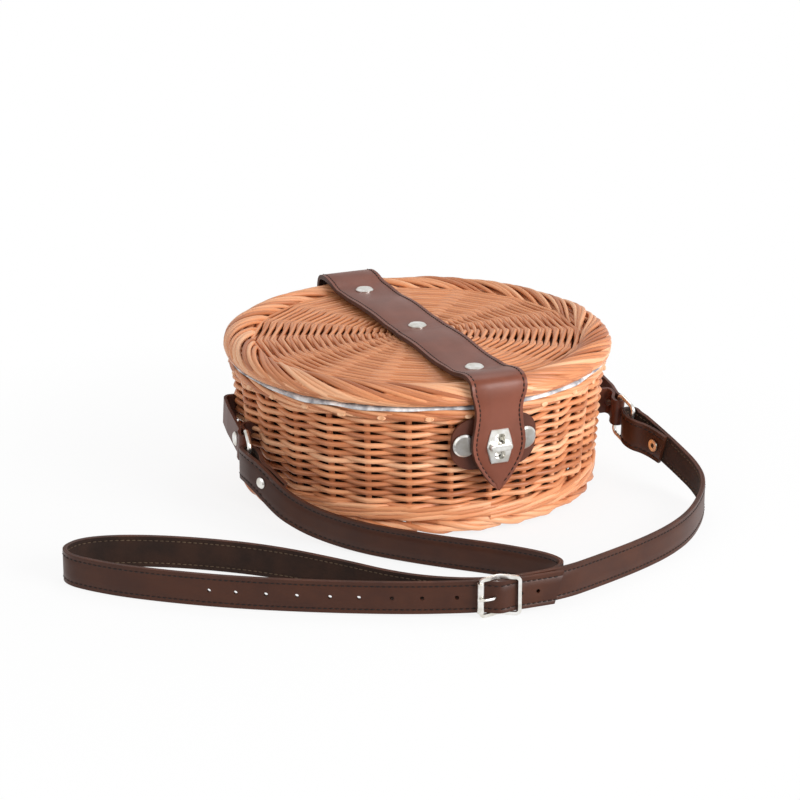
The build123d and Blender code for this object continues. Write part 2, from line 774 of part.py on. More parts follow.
# End folds of the strap: each wraps the outer bar of its ring and lies back along the strap
rivet_plane = Plane(origin=(-125.2, -51.5, 29.6), z_dir=(-0.921, -0.389, 0))
eyelet_plane = Plane(origin=(135.7, -77.5, 27.4), z_dir=(-0.979, -0.2024, 0))
with BuildPart() as end_fold_left:
    strip(fold_left, fold_left_radii, 0, 60)
    level(Plane.YZ, left_heights, 160)
    with BuildSketch(rivet_plane.offset(-8)):
        Circle(1.9)
    extrude(amount=12, mode=Mode.SUBTRACT)
write(end_fold_left, "end_fold_left")

with BuildPart() as end_fold_right:
    strip(fold_right, fold_right_radii, 0, 60)
    level(Plane.YZ, right_heights, 180)
    with BuildSketch(eyelet_plane.offset(-4)):
        Circle(2.5)
    extrude(amount=12, mode=Mode.SUBTRACT)
write(end_fold_right, "end_fold_right")

# Rivet of the left fold and open eyelet of the right one
with BuildPart() as fold_rivet:
    cap(rivet_plane.offset(strap_thick / 2 + 0.15), 7.0, 1.3)
    with BuildSketch(rivet_plane.offset(strap_thick / 2 + 0.15)):
        Circle(1.7)
    extrude(amount=-7.0)
    with BuildSketch(rivet_plane.offset(-5.3)):
        Circle(3.0)
    extrude(amount=-0.7)
write(fold_rivet, "fold_rivet")

with BuildPart() as fold_eyelet:
    with BuildSketch(eyelet_plane.offset(-strap_thick / 2 - 0.8)):
        Circle(2.4)
        Circle(1.6, mode=Mode.SUBTRACT)
    extrude(amount=8.4)
    for at in (-strap_thick / 2 - 0.8, 6.2):
        with BuildSketch(eyelet_plane.offset(at)):
            Circle(3.9)
            Circle(1.6, mode=Mode.SUBTRACT)
        extrude(amount=0.6)
write(fold_eyelet, "fold_eyelet")

# Fold of the short half round the buckle's middle bar, skived thin and slotted for the prong
turned = [
    (13.0, -6.15), (7.0, -5.05), (2.0, -2.0), (-2.0, -2.0), (-2.0, -6.0), (2.0, -6.0), (7.0, -6.75),
    (13.0, -7.6),
]
with BuildPart() as buckle_fold:
    strip([buckle_point(*point) for point in turned], [3, 2, 1.95, 1.95, 4, 8], lift, strap_tall + lift, 1.4)
    with BuildSketch(buckle_plane.offset(-10)):
        with Locations((0.4, lifted)):
            RectangleRounded(10.2, 3.6, 1.2)
        with Locations((14.3, lifted)):
            Rectangle(3, 40)
    extrude(amount=20, mode=Mode.SUBTRACT)
write(buckle_fold, "buckle_fold")

# Frame: an upright rectangle with round corners, bowed back in the middle
with BuildPart() as buckle_frame:
    with BuildSketch(buckle_plane):
        with Locations((0, frame_high / 2 + 0.05)):
            RectangleRounded(2 * frame_half + frame_wire, frame_high, 3.2)
            RectangleRounded(
                2 * frame_half - frame_wire, frame_high - 2 * frame_wire, 1.4, mode=Mode.SUBTRACT
            )
    extrude(amount=12, both=True)
    with BuildSketch(plan_plane) as bowed:
        with BuildLine() as curve:
            Spline((-frame_half - 2, 0), (0, bow), (frame_half + 2, 0), tangents=((1, 0), (1, 0)))
        trace(curve.line, line_width=frame_wire)
    extrude(amount=30, mode=Mode.INTERSECT)
write(buckle_frame, "buckle_frame")

# Middle bar of the buckle, let into the top and bottom of the frame
bar_radius, bar_back = 1.2, 4.0
bar_at = buckle_plane.from_local_coords((0, 0, -bar_back))
with BuildPart() as buckle_bar:
    with BuildSketch(Plane(origin=Vector(bar_at.X, bar_at.Y, frame_wire + 0.1), z_dir=(0, 0, 1))):
        Circle(bar_radius)
    extrude(amount=frame_high - 2 * frame_wire - 0.1)
write(buckle_bar, "buckle_bar")

# Roller: a turned-up tube on the frame's left side
with BuildPart() as buckle_roller:
    with BuildSketch(plan_plane.offset(frame_wire + 1.2)):
        with Locations((-frame_half, 0)):
            Circle(2.1)
            Circle(1.65, mode=Mode.SUBTRACT)
    extrude(amount=frame_high - 2 * frame_wire - 2.2)
write(buckle_roller, "buckle_roller")

# Prong: an eye on the middle bar and a wire that comes up through the strap to rest on the roller
with BuildPart() as buckle_prong:
    with BuildSketch(plan_plane.offset(lifted - 1.2)):
        with Locations((0, bar_back)):
            Circle(2.35)
            Circle(bar_radius + 0.08, mode=Mode.SUBTRACT)
    extrude(amount=2.4)
    with BuildLine(plan_plane.offset(lifted)) as prong_path:
        FilletPolyline((-1.0, 2.2), (-4.6, -2.3), (-9.5, -3.4), (-14.2, -3.2), radius=2.5)
    with BuildSketch(Plane(prong_path.line @ 0, z_dir=prong_path.line % 0)):
        Circle(0.95)
    sweep(path=prong_path.line)
write(buckle_prong, "buckle_prong")
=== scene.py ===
# %% [markdown]
# A round willow shoulder bag with leather straps, dressed over its solid model. The metal and the
# leather loops keep their solids, and get finishes. The willow, the lining and the straps are
# modelled here, because a solid can't show how they are woven, sewn and bent.
# %% Load the frame
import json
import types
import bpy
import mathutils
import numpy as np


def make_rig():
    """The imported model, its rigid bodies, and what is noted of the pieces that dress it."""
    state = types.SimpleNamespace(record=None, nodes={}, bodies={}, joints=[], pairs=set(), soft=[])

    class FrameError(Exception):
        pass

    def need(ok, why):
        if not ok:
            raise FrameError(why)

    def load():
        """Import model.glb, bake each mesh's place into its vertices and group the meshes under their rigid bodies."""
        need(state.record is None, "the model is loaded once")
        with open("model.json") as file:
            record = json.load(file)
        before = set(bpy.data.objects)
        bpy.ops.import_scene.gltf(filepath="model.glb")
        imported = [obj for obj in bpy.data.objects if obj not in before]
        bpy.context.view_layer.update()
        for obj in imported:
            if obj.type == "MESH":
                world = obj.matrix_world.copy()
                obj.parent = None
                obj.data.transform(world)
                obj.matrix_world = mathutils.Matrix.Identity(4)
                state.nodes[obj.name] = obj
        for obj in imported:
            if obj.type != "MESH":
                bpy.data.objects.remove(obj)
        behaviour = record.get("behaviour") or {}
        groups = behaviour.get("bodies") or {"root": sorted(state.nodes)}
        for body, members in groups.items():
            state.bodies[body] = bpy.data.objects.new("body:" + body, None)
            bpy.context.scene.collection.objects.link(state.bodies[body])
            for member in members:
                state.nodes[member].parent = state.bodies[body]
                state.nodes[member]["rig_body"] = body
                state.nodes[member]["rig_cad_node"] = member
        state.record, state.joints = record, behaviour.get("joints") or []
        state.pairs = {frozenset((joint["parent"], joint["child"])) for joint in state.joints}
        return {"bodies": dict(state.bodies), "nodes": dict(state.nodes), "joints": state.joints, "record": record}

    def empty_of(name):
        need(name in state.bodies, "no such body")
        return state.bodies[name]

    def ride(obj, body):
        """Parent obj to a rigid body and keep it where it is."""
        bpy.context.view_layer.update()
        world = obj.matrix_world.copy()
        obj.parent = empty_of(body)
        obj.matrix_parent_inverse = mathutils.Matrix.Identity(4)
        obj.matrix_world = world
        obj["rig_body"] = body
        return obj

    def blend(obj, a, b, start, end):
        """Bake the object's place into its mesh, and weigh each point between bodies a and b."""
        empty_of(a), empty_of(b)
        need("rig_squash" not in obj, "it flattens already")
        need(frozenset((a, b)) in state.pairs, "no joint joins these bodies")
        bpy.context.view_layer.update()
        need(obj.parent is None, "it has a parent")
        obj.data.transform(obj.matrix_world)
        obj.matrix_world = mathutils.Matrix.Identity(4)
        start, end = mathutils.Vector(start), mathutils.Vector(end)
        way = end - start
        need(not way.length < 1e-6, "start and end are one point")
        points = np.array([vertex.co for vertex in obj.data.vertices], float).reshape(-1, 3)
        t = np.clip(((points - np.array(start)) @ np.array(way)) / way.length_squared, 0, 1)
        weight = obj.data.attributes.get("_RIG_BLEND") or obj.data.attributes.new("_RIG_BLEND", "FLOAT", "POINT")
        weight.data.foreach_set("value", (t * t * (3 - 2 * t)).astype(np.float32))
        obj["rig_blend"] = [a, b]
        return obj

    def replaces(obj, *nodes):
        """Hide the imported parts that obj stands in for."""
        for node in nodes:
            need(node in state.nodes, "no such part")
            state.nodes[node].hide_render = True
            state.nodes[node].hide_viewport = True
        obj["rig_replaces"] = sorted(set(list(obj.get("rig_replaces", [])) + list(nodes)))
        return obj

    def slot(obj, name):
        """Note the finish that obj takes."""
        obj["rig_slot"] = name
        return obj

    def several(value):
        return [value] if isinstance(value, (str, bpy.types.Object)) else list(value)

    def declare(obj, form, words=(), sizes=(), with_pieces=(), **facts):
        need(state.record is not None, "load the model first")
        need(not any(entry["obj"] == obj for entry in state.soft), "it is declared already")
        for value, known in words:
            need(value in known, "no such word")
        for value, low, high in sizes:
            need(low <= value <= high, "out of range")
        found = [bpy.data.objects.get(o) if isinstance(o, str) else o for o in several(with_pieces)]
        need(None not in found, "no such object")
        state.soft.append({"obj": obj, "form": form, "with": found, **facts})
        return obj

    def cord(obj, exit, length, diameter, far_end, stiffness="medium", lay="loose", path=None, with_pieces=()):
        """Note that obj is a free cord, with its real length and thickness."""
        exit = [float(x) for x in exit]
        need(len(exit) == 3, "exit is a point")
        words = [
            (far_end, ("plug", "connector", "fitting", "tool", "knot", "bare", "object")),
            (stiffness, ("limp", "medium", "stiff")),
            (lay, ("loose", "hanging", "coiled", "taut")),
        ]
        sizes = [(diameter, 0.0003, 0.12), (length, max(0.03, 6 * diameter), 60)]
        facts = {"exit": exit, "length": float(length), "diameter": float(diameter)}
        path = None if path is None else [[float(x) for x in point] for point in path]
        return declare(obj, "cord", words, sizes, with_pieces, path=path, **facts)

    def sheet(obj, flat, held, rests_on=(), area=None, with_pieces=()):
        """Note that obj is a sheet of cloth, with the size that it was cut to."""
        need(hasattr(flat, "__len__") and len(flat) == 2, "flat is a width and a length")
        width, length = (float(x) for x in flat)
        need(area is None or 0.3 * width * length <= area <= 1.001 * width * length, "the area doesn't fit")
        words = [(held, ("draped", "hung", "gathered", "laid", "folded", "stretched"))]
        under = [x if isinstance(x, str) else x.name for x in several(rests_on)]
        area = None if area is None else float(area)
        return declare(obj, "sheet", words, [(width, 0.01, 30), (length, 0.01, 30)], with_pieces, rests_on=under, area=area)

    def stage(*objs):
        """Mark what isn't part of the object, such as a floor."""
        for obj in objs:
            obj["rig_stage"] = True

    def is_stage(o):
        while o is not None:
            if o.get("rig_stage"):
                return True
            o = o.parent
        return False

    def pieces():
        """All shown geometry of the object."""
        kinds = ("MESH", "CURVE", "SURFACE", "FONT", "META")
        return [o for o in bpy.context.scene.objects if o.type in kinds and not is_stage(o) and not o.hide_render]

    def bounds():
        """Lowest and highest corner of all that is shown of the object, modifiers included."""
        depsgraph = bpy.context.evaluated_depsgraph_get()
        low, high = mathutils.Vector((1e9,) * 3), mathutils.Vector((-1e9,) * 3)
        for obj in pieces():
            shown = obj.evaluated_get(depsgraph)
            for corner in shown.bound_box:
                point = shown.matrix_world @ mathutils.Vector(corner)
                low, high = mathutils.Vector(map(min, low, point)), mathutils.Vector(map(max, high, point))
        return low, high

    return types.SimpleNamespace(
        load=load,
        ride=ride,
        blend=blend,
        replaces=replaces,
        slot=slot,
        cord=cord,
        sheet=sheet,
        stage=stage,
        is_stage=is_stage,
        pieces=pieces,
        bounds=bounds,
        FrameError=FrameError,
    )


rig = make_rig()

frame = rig.load()

import json
import math
import random

import bpy
from mathutils import Matrix, Vector

cad_box = [list(corner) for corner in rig.bounds()]
nodes = frame["nodes"]
MM = 0.001
random.seed(7)
print("nodes", len(nodes), "box", cad_box)

# %% [markdown]
# The photograph looks down on the bag a little, from the left of its front. A long lens keeps the
# two sides of the lid almost parallel, so the camera stands two metres away.
# %% Camera
AZIMUTH, ELEVATION, DISTANCE, LENS = -22.87, 18.78, 2.0046, 141.0
LOOK_AT = Vector((-0.012, 0, 0.052))


def direction(azimuth, elevation):
    """A unit vector from the bag towards a place given by its angles."""
    a, e = math.radians(azimuth), math.radians(elevation)
    return Vector((math.sin(a) * math.cos(e), -math.cos(a) * math.cos(e), math.sin(e)))


bpy.ops.object.camera_add(location=LOOK_AT + direction(AZIMUTH, ELEVATION) * DISTANCE)
camera = bpy.context.active_object
camera.rotation_euler = direction(AZIMUTH, ELEVATION).to_track_quat("Z", "Y").to_euler()
camera.data.lens = LENS
camera.data.clip_end = 50
bpy.context.scene.camera = camera
print("camera at", [round(c, 3) for c in camera.location])

# %% [markdown]
# Every effect that more than one finish uses is a node group: a small net of nodes with named
# sockets, which is built once and placed in many materials. This helper makes an empty one.
# %% Group helper
COLOUR, NUMBER, ARROW = "NodeSocketColor", "NodeSocketFloat", "NodeSocketVector"


def new_group(name, inputs, outputs):
    """An empty shader group with named sockets, and its two end nodes."""
    group = bpy.data.node_groups.new(name, "ShaderNodeTree")
    for label, kind, value in inputs:
        socket = group.interface.new_socket(label, in_out="INPUT", socket_type=kind)
        if value is not None:
            socket.default_value = value
    for label, kind in outputs:
        group.interface.new_socket(label, in_out="OUTPUT", socket_type=kind)
    return group, group.nodes.new("NodeGroupInput"), group.nodes.new("NodeGroupOutput")


print("group helper ready")

# %% [markdown]
# Two effects serve leather, cloth and metal alike. Mottling mixes two tones by a slow noise, as
# dye and polish never take evenly. Relief bends the surface's normal by a fine noise, which gives
# grain or thread without adding any faces.
# %% Mottling and relief
def mottling():
    """Two tones mixed by noise."""
    group, start, end = new_group(
        "mottling",
        [("Light", COLOUR, None), ("Dark", COLOUR, None), ("Place", ARROW, None), ("Scale", NUMBER, 40.0)],
        [("Color", COLOUR)],
    )
    noise = group.nodes.new("ShaderNodeTexNoise")
    noise.inputs["Detail"].default_value = 4
    ramp = group.nodes.new("ShaderNodeMapRange")
    ramp.inputs["From Min"].default_value = 0.35
    ramp.inputs["From Max"].default_value = 0.65
    mix = group.nodes.new("ShaderNodeMix")
    mix.data_type = "RGBA"
    join = group.links.new
    join(start.outputs["Place"], noise.inputs["Vector"])
    join(start.outputs["Scale"], noise.inputs["Scale"])
    join(noise.outputs["Fac"], ramp.inputs["Value"])
    join(ramp.outputs["Result"], mix.inputs["Factor"])
    join(start.outputs["Light"], mix.inputs[6])
    join(start.outputs["Dark"], mix.inputs[7])
    join(mix.outputs[2], end.inputs["Color"])
    return group


def relief():
    """A normal bumped by a fine noise."""
    group, start, end = new_group(
        "relief",
        [("Place", ARROW, None), ("Scale", NUMBER, 900.0), ("Strength", NUMBER, 0.2),
         ("Depth", NUMBER, 0.0003)],
        [("Normal", ARROW)],
    )
    noise = group.nodes.new("ShaderNodeTexNoise")
    noise.inputs["Detail"].default_value = 6
    bump = group.nodes.new("ShaderNodeBump")
    join = group.links.new
    join(start.outputs["Place"], noise.inputs["Vector"])
    join(start.outputs["Scale"], noise.inputs["Scale"])
    join(noise.outputs["Fac"], bump.inputs["Height"])
    join(start.outputs["Strength"], bump.inputs["Strength"])
    join(start.outputs["Depth"], bump.inputs["Distance"])
    join(bump.outputs["Normal"], end.inputs["Normal"])
    return group


MOTTLING, RELIEF = mottling(), relief()
print("groups", [g.name for g in bpy.data.node_groups])

# %% [markdown]
# A material starts as Blender's main shader. What is the same all over a surface, such as how
# rough it is, is set on that shader itself, and what changes over the surface is joined to it.
# Leather, cloth and metal are all toned finishes: they differ in tones, grain and gloss.
# %% Material helpers
def srgb(code):
    """A colour as the shader wants it, from its usual code of six signs."""
    parts = [int(code[i : i + 2], 16) / 255 for i in (0, 2, 4)]
    linear = [c / 12.92 if c <= 0.04045 else ((c + 0.055) / 1.055) ** 2.4 for c in parts]
    return (*linear, 1)


def start_material(name, roughness, metallic=0.0):
    """A new material, its node tree and its main shader."""
    material = bpy.data.materials.new(name)
    material.use_nodes = True
    shader = material.node_tree.nodes["Principled BSDF"]
    shader.inputs["Roughness"].default_value = roughness
    shader.inputs["Metallic"].default_value = metallic
    return material, material.node_tree, shader


def use(tree, group, **values):
    """A node that places a group in a material, with its own values."""
    node = tree.nodes.new("ShaderNodeGroup")
    node.node_tree = group
    for label, value in values.items():
        node.inputs[label.capitalize()].default_value = value
    return node


def number_from(tree, operation, *inputs):
    """The result of a math node. Each input is a number or another node's output."""
    node = tree.nodes.new("ShaderNodeMath")
    node.operation = operation
    for socket, value in zip(node.inputs, inputs):
        if isinstance(value, (int, float)):
            socket.default_value = value
        else:
            tree.links.new(value, socket)
    return node.outputs["Value"]


def toned_finish(name, tones, tone_scale, grain, roughness, metallic=0.0, specular=0.5):
    """Two mottled tones, light and dark, with a grain given by its scale, strength and depth."""
    material, tree, shader = start_material(name, roughness, metallic)
    place = tree.nodes.new("ShaderNodeTexCoord")
    light, dark = (srgb(code) for code in tones)
    mottled = use(tree, MOTTLING, light=light, dark=dark, scale=tone_scale)
    grained = use(tree, RELIEF, scale=grain[0], strength=grain[1], depth=grain[2])
    for group in (mottled, grained):
        tree.links.new(place.outputs["Object"], group.inputs["Place"])
    tree.links.new(mottled.outputs["Color"], shader.inputs["Base Color"])
    tree.links.new(grained.outputs["Normal"], shader.inputs["Normal"])
    shader.inputs["Specular IOR Level"].default_value = specular
    return material


print("material helpers ready")

# %% [markdown]
# Peeled and boiled willow is orange buff, and no two rods have the same tone. Each rod carries a
# measure of its own: how far along it a point is, how far round, and the rod's own tone. The
# streaks and the tone come from that measure, so that they follow every bend.
# %% Willow
def willow_finish(name, light, middle, dark):
    """Three tones of willow, streaked along each rod."""
    material, tree, shader = start_material(name, 0.42)
    join = tree.links.new
    rod = tree.nodes.new("ShaderNodeAttribute")
    rod.attribute_name = "rod"
    split = tree.nodes.new("ShaderNodeSeparateXYZ")
    join(rod.outputs["Vector"], split.inputs["Vector"])
    stretch = tree.nodes.new("ShaderNodeMapping")
    stretch.inputs["Scale"].default_value = (25, 2.2, 37)
    join(rod.outputs["Vector"], stretch.inputs["Vector"])
    streaks = tree.nodes.new("ShaderNodeTexNoise")
    streaks.inputs["Scale"].default_value = 1.5
    streaks.inputs["Detail"].default_value = 5
    join(stretch.outputs["Vector"], streaks.inputs["Vector"])
    streak_share = number_from(tree, "MULTIPLY", streaks.outputs["Fac"], 0.42)
    tone = number_from(tree, "MULTIPLY_ADD", split.outputs["Z"], 0.65, streak_share)
    ramp = tree.nodes.new("ShaderNodeValToRGB")
    ramp.color_ramp.elements[0].position = 0.12
    ramp.color_ramp.elements[0].color = srgb(dark)
    ramp.color_ramp.elements[1].position = 0.9
    ramp.color_ramp.elements[1].color = srgb(light)
    ramp.color_ramp.elements.new(0.5).color = srgb(middle)
    join(tone, ramp.inputs["Fac"])
    join(ramp.outputs["Color"], shader.inputs["Base Color"])
    bump = tree.nodes.new("ShaderNodeBump")
    bump.inputs["Strength"].default_value = 0.25
    bump.inputs["Distance"].default_value = 0.0004
    join(streaks.outputs["Fac"], bump.inputs["Height"])
    join(bump.outputs["Normal"], shader.inputs["Normal"])
    shader.inputs["Specular IOR Level"].default_value = 0.45
    return material


WILLOW = willow_finish("willow", "F0B88E", "D98F60", "A25C38")
print("finish", WILLOW.name)

# %% [markdown]
# Four small jobs come back for many pieces: to select one piece alone, to make a piece from its
# points and faces, to turn its faces outwards, and to add a modifier and apply it.
# %% Piece helpers
def select_only(piece):
    bpy.ops.object.select_all(action="DESELECT")
    piece.select_set(True)
    bpy.context.view_layer.objects.active = piece


def mesh_piece(name, verts, faces, materials, slots=None):
    """A new piece from its points and faces. Slots give each face the number of its material."""
    mesh = bpy.data.meshes.new(name)
    mesh.from_pydata([tuple(v) for v in verts], [], faces)
    for material in materials:
        mesh.materials.append(material)
    if slots:
        mesh.polygons.foreach_set("material_index", slots)
    piece = bpy.data.objects.new(name, mesh)
    bpy.context.scene.collection.objects.link(piece)
    return piece


def face_outwards(piece):
    """Turn all faces of a piece outwards, and leave it selected."""
    select_only(piece)
    bpy.ops.object.mode_set(mode="EDIT")
    bpy.ops.mesh.select_all(action="SELECT")
    bpy.ops.mesh.normals_make_consistent(inside=False)
    bpy.ops.object.mode_set(mode="OBJECT")


def finish_with(piece, kind, **settings):
    """Add a modifier with these settings to a piece, and apply it."""
    select_only(piece)
    modifier = piece.modifiers.new(kind.lower(), kind)
    for label, value in settings.items():
        setattr(modifier, label, value)
    bpy.ops.object.modifier_apply(modifier=modifier.name)


print("piece helpers ready")

# %% [markdown]
# The weave is made of rods. A rod is a curve with a round bevel, which becomes a mesh when its
# points are settled: that is how one would bend a real rod, point by point. All rods of one part
# of the basket are splines of one curve, so that they are one piece.
# %% Rods
ROD_SIDES = 8


def measure_rods(piece, rods):
    """Write each point's place along and round its rod, and the rod's tone, as an attribute.

    The caps at the ends have points of their own, which the list doesn't count. Its last value
    fills it up, so the tones run a little ahead of the rods and may change part way along one.
    """
    values = []
    for points, _ in rods:
        tone = random.random()
        offset = random.random() * 9
        along = offset
        for k, point in enumerate(points):
            if k:
                along += math.dist(point[:3], points[k - 1][:3])
            for side in range(ROD_SIDES):
                values.append((along, math.sin(2 * math.pi * side / ROD_SIDES) * 0.5 + offset, tone))
    values += [values[-1]] * (len(piece.data.vertices) - len(values))
    attribute = piece.data.attributes.new("rod", "FLOAT_VECTOR", "POINT")
    attribute.data.foreach_set("vector", [c for v in values for c in v])


def weave(name, rods, body, *replaced):
    """Make one piece of rods, each a list of (x, y, z, radius) and whether it closes on itself."""
    data = bpy.data.curves.new(name, "CURVE")
    data.dimensions = "3D"
    data.bevel_depth = 1.0
    data.bevel_resolution = ROD_SIDES // 2 - 2
    data.use_fill_caps = True
    for points, closed in rods:
        spline = data.splines.new("POLY")
        spline.points.add(len(points) - 1)
        for target, (x, y, z, radius) in zip(spline.points, points):
            target.co = (x, y, z, 1)
            target.radius = radius
        spline.use_cyclic_u = closed
    piece = bpy.data.objects.new(name, data)
    bpy.context.scene.collection.objects.link(piece)
    select_only(piece)
    bpy.ops.object.convert(target="MESH")
    piece = bpy.context.active_object
    measure_rods(piece, rods)
    bpy.ops.object.shade_smooth()
    piece.data.materials.clear()
    piece.data.materials.append(WILLOW)
    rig.ride(piece, body)
    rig.slot(piece, "willow")
    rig.replaces(piece, *replaced)
    print(name, "rods", len(rods), "faces", len(piece.data.polygons))


def wobble(seed, size):
    """A slow uneven wave round the bag, as hand-laid rods have."""
    source = random.Random(seed)
    waves = [(source.randint(1, 9), source.random() * 2 * math.pi, source.uniform(0.3, 1)) for _ in range(4)]
    total = sum(w[2] for w in waves)
    return lambda angle: size * sum(w[2] * math.sin(w[0] * angle + w[1]) for w in waves) / total


print("rod helpers ready")

# %% [markdown]
# The wall is plain weave: each rod runs in front of one stake and behind the next, and each row
# the other way round from the one below it. A rod is stiff, so between two stakes it runs nearly
# straight and bends only where it meets a stake.
# %% Plain rows of the wall
STAKES = 28
ROWS = 22
SAMPLES = 6
WALL_LOW, WALE_HIGH, WALL_HIGH = 0.0093, 0.0185, 0.0767
WALL_RADIUS_LOW, WALL_RADIUS_HIGH = 0.1140, 0.1190
ROD, STAKE_ROD = 0.0017, 0.0020
IN_AND_OUT = 0.0035


def wall_radius(z):
    share = (z - WALL_LOW) / (WALL_HIGH - WALL_LOW)
    return WALL_RADIUS_LOW + share * (WALL_RADIUS_HIGH - WALL_RADIUS_LOW)


def round_the_bag(angle, radius, z):
    """A point at an angle from the front, counted to the right."""
    return (radius * math.sin(angle), -radius * math.cos(angle), z)


def bent(phase):
    """A wave with straight sides and short bends, as a stiff rod makes between stakes."""
    return math.asin(0.985 * math.cos(phase)) / math.asin(0.985)


def wall_rods():
    pitch = (WALL_HIGH - WALE_HIGH) / ROWS
    steps = STAKES * SAMPLES
    rods = []
    for row in range(ROWS):
        height = WALE_HIGH + (row + 0.5) * pitch
        rise, swell = wobble(row, 0.0005), wobble(row + 50, 0.00022)
        points = []
        for k in range(steps):
            angle = 2 * math.pi * k / steps
            wave = bent(angle * STAKES / 2 + math.pi * row)
            z = height + rise(angle)
            radius = wall_radius(z) - ROD - IN_AND_OUT * (1 - wave) + 0.0002
            points.append((*round_the_bag(angle, radius, z), (ROD + swell(angle)) * (0.9 + 0.14 * wave)))
        rods.append((points, True))
    return rods


plain_rows = wall_rods()
print("plain rows", len(plain_rows))

# %% [markdown]
# Under the plain rows lie three rows of waling. Three rods work together there: each passes in
# front of two stakes before it goes behind one, and comes up a little while it does. The same
# helper weaves the two discs later, which is why it asks another function for a rod's place.
# %% Waling and the whole wall
WALE_ROWS = 3
WALE_START = WALL_LOW + 0.0012


def waling(stakes, rows, place, rod):
    """Three rods that wind round together. place(angle, turns, side, lead, rod) gives a point."""
    rods = []
    for member in range(3):
        points = []
        for k in range(stakes * rows * SAMPLES + 1):
            crossing = k / SAMPLES
            here = math.floor(crossing)
            share = crossing - here
            states = [(here + step + member) % 3 for step in (0, 1)]
            side = [(-1, 1, 1)[s] for s in states]
            lead = [(0, -1, 1)[s] for s in states]
            ease = (1 - math.cos(math.pi * share)) / 2 if side[0] != side[1] else share
            points.append(place(
                2 * math.pi * crossing / stakes, crossing / stakes,
                side[0] + (side[1] - side[0]) * ease, lead[0] + (lead[1] - lead[0]) * share, rod,
            ))
        rods.append((points, False))
    return rods


def wale_place(angle, turns, side, lead, rod):
    z = WALE_START + turns * (WALE_HIGH - WALE_START) / WALE_ROWS + 0.0009 * lead
    return (*round_the_bag(angle, wall_radius(z) - rod - IN_AND_OUT * (1 - side) + 0.0004, z), rod)


weave("wall_woven", plain_rows + waling(STAKES, WALE_ROWS, wale_place, ROD), "basket", "wall_weave")

# %% [markdown]
# The stakes stand between the rods, from the base up into the border. They are straight, a little
# thicker than the weavers, and no two gaps between them are quite the same.
# %% Stakes
stakes = []
for k in range(STAKES):
    angle = 2 * math.pi * k / STAKES + random.uniform(-0.006, 0.006)
    stakes.append(([
        (*round_the_bag(angle, wall_radius(z) - ROD - IN_AND_OUT + 0.0005, z), STAKE_ROD)
        for z in (0.006, 0.03, 0.055, 0.08)
    ], False))
weave("stakes_upright", stakes, "basket", "side_stakes")

# %% [markdown]
# A border is rolled: each stake's end comes up from inside, leans over the edge and runs along it
# until it tucks away under the next ones. Every strand turns round the border's own middle line
# while it runs round the bag, and a plain ring inside closes the view through it.
# %% Border helpers
STRAND_STEPS = 22
TUCKED = 0.14


def rolled_border(strands, rods_each, middle, size, sweep, turn, rod, seed, shift=0.0, spread=0.6):
    """Strands that turn round a ring. Middle is (radius, z), size is half the ring's width and height.

    Sweep is how far a strand runs round the bag and turn is where it starts and ends in the roll,
    both in degrees.
    """
    source = random.Random(seed)
    rods = []
    gap = 2 * math.pi / strands
    for strand in range(strands):
        start = gap * (strand + shift)
        high = source.uniform(-0.0007, 0.0007)
        for rod_at in range(rods_each):
            lag = spread * gap * (rod_at - (rods_each - 1) / 2) / max(rods_each - 1, 1)
            jitter = source.uniform(-0.3, 0.3) * gap
            grow = source.uniform(0.86, 1.14)
            points = []
            for k in range(STRAND_STEPS + 1):
                share = k / STRAND_STEPS
                around = math.radians(turn[0] + (turn[1] - turn[0]) * share)
                angle = start + lag + jitter * (share - 0.5) + math.radians(sweep) * share
                tuck = 1 - 0.4 * (max(0, TUCKED - share) + max(0, share - 1 + TUCKED)) / TUCKED
                arch = math.sin(math.pi * share)
                radius = middle[0] + size[0] * math.cos(around)
                z = middle[1] + size[1] * tuck * math.sin(around) + high * arch
                points.append((*round_the_bag(angle, radius, z), rod * grow * (0.75 + 0.25 * arch)))
            rods.append((points, False))
    return rods


def core_ring(radius, z, thick, steps=96):
    """A plain ring inside a border."""
    return [([(*round_the_bag(2 * math.pi * k / steps, radius, z), thick) for k in range(steps)], True)]


print("border helpers ready")

# %% [markdown]
# The bag stands on one rolled border, and another closes the top of the wall, under the lid. Both
# have a second layer that runs between the strands of the first.
# %% Foot and top borders
foot = rolled_border(28, 1, (0.1084, 0.0056), (0.0042, 0.0036), sweep=27, turn=(140, -75), rod=0.0020, seed=3)
foot += rolled_border(14, 1, (0.1078, 0.0050), (0.0038, 0.0028), sweep=42, turn=(60, -60), rod=0.0018,
                      seed=13, shift=0.45)
foot += core_ring(0.1076, 0.0050, 0.0028)
weave("foot_braid", foot, "basket", "foot_border")
top = rolled_border(28, 1, (0.1150, 0.0806), (0.0036, 0.0026), sweep=44, turn=(150, -60), rod=0.0018, seed=4)
top += rolled_border(28, 1, (0.1152, 0.0800), (0.0036, 0.0024), sweep=36, turn=(75, -80), rod=0.0015,
                     seed=14, shift=0.5)
top += core_ring(0.1148, 0.0806, 0.0024)
weave("top_braid", top, "basket", "top_border")

# %% [markdown]
# The lid and the base are woven on a star of sticks. Three rods work together here as well: each
# lies over two sticks and then under one, so that the sticks hardly show from above. A rod bends
# at each stick and is straight between them, which draws the spokes as lines of bends.
# %% Disc helpers
SPOKES, SPOKE_PHASE = 16, math.radians(6.5)


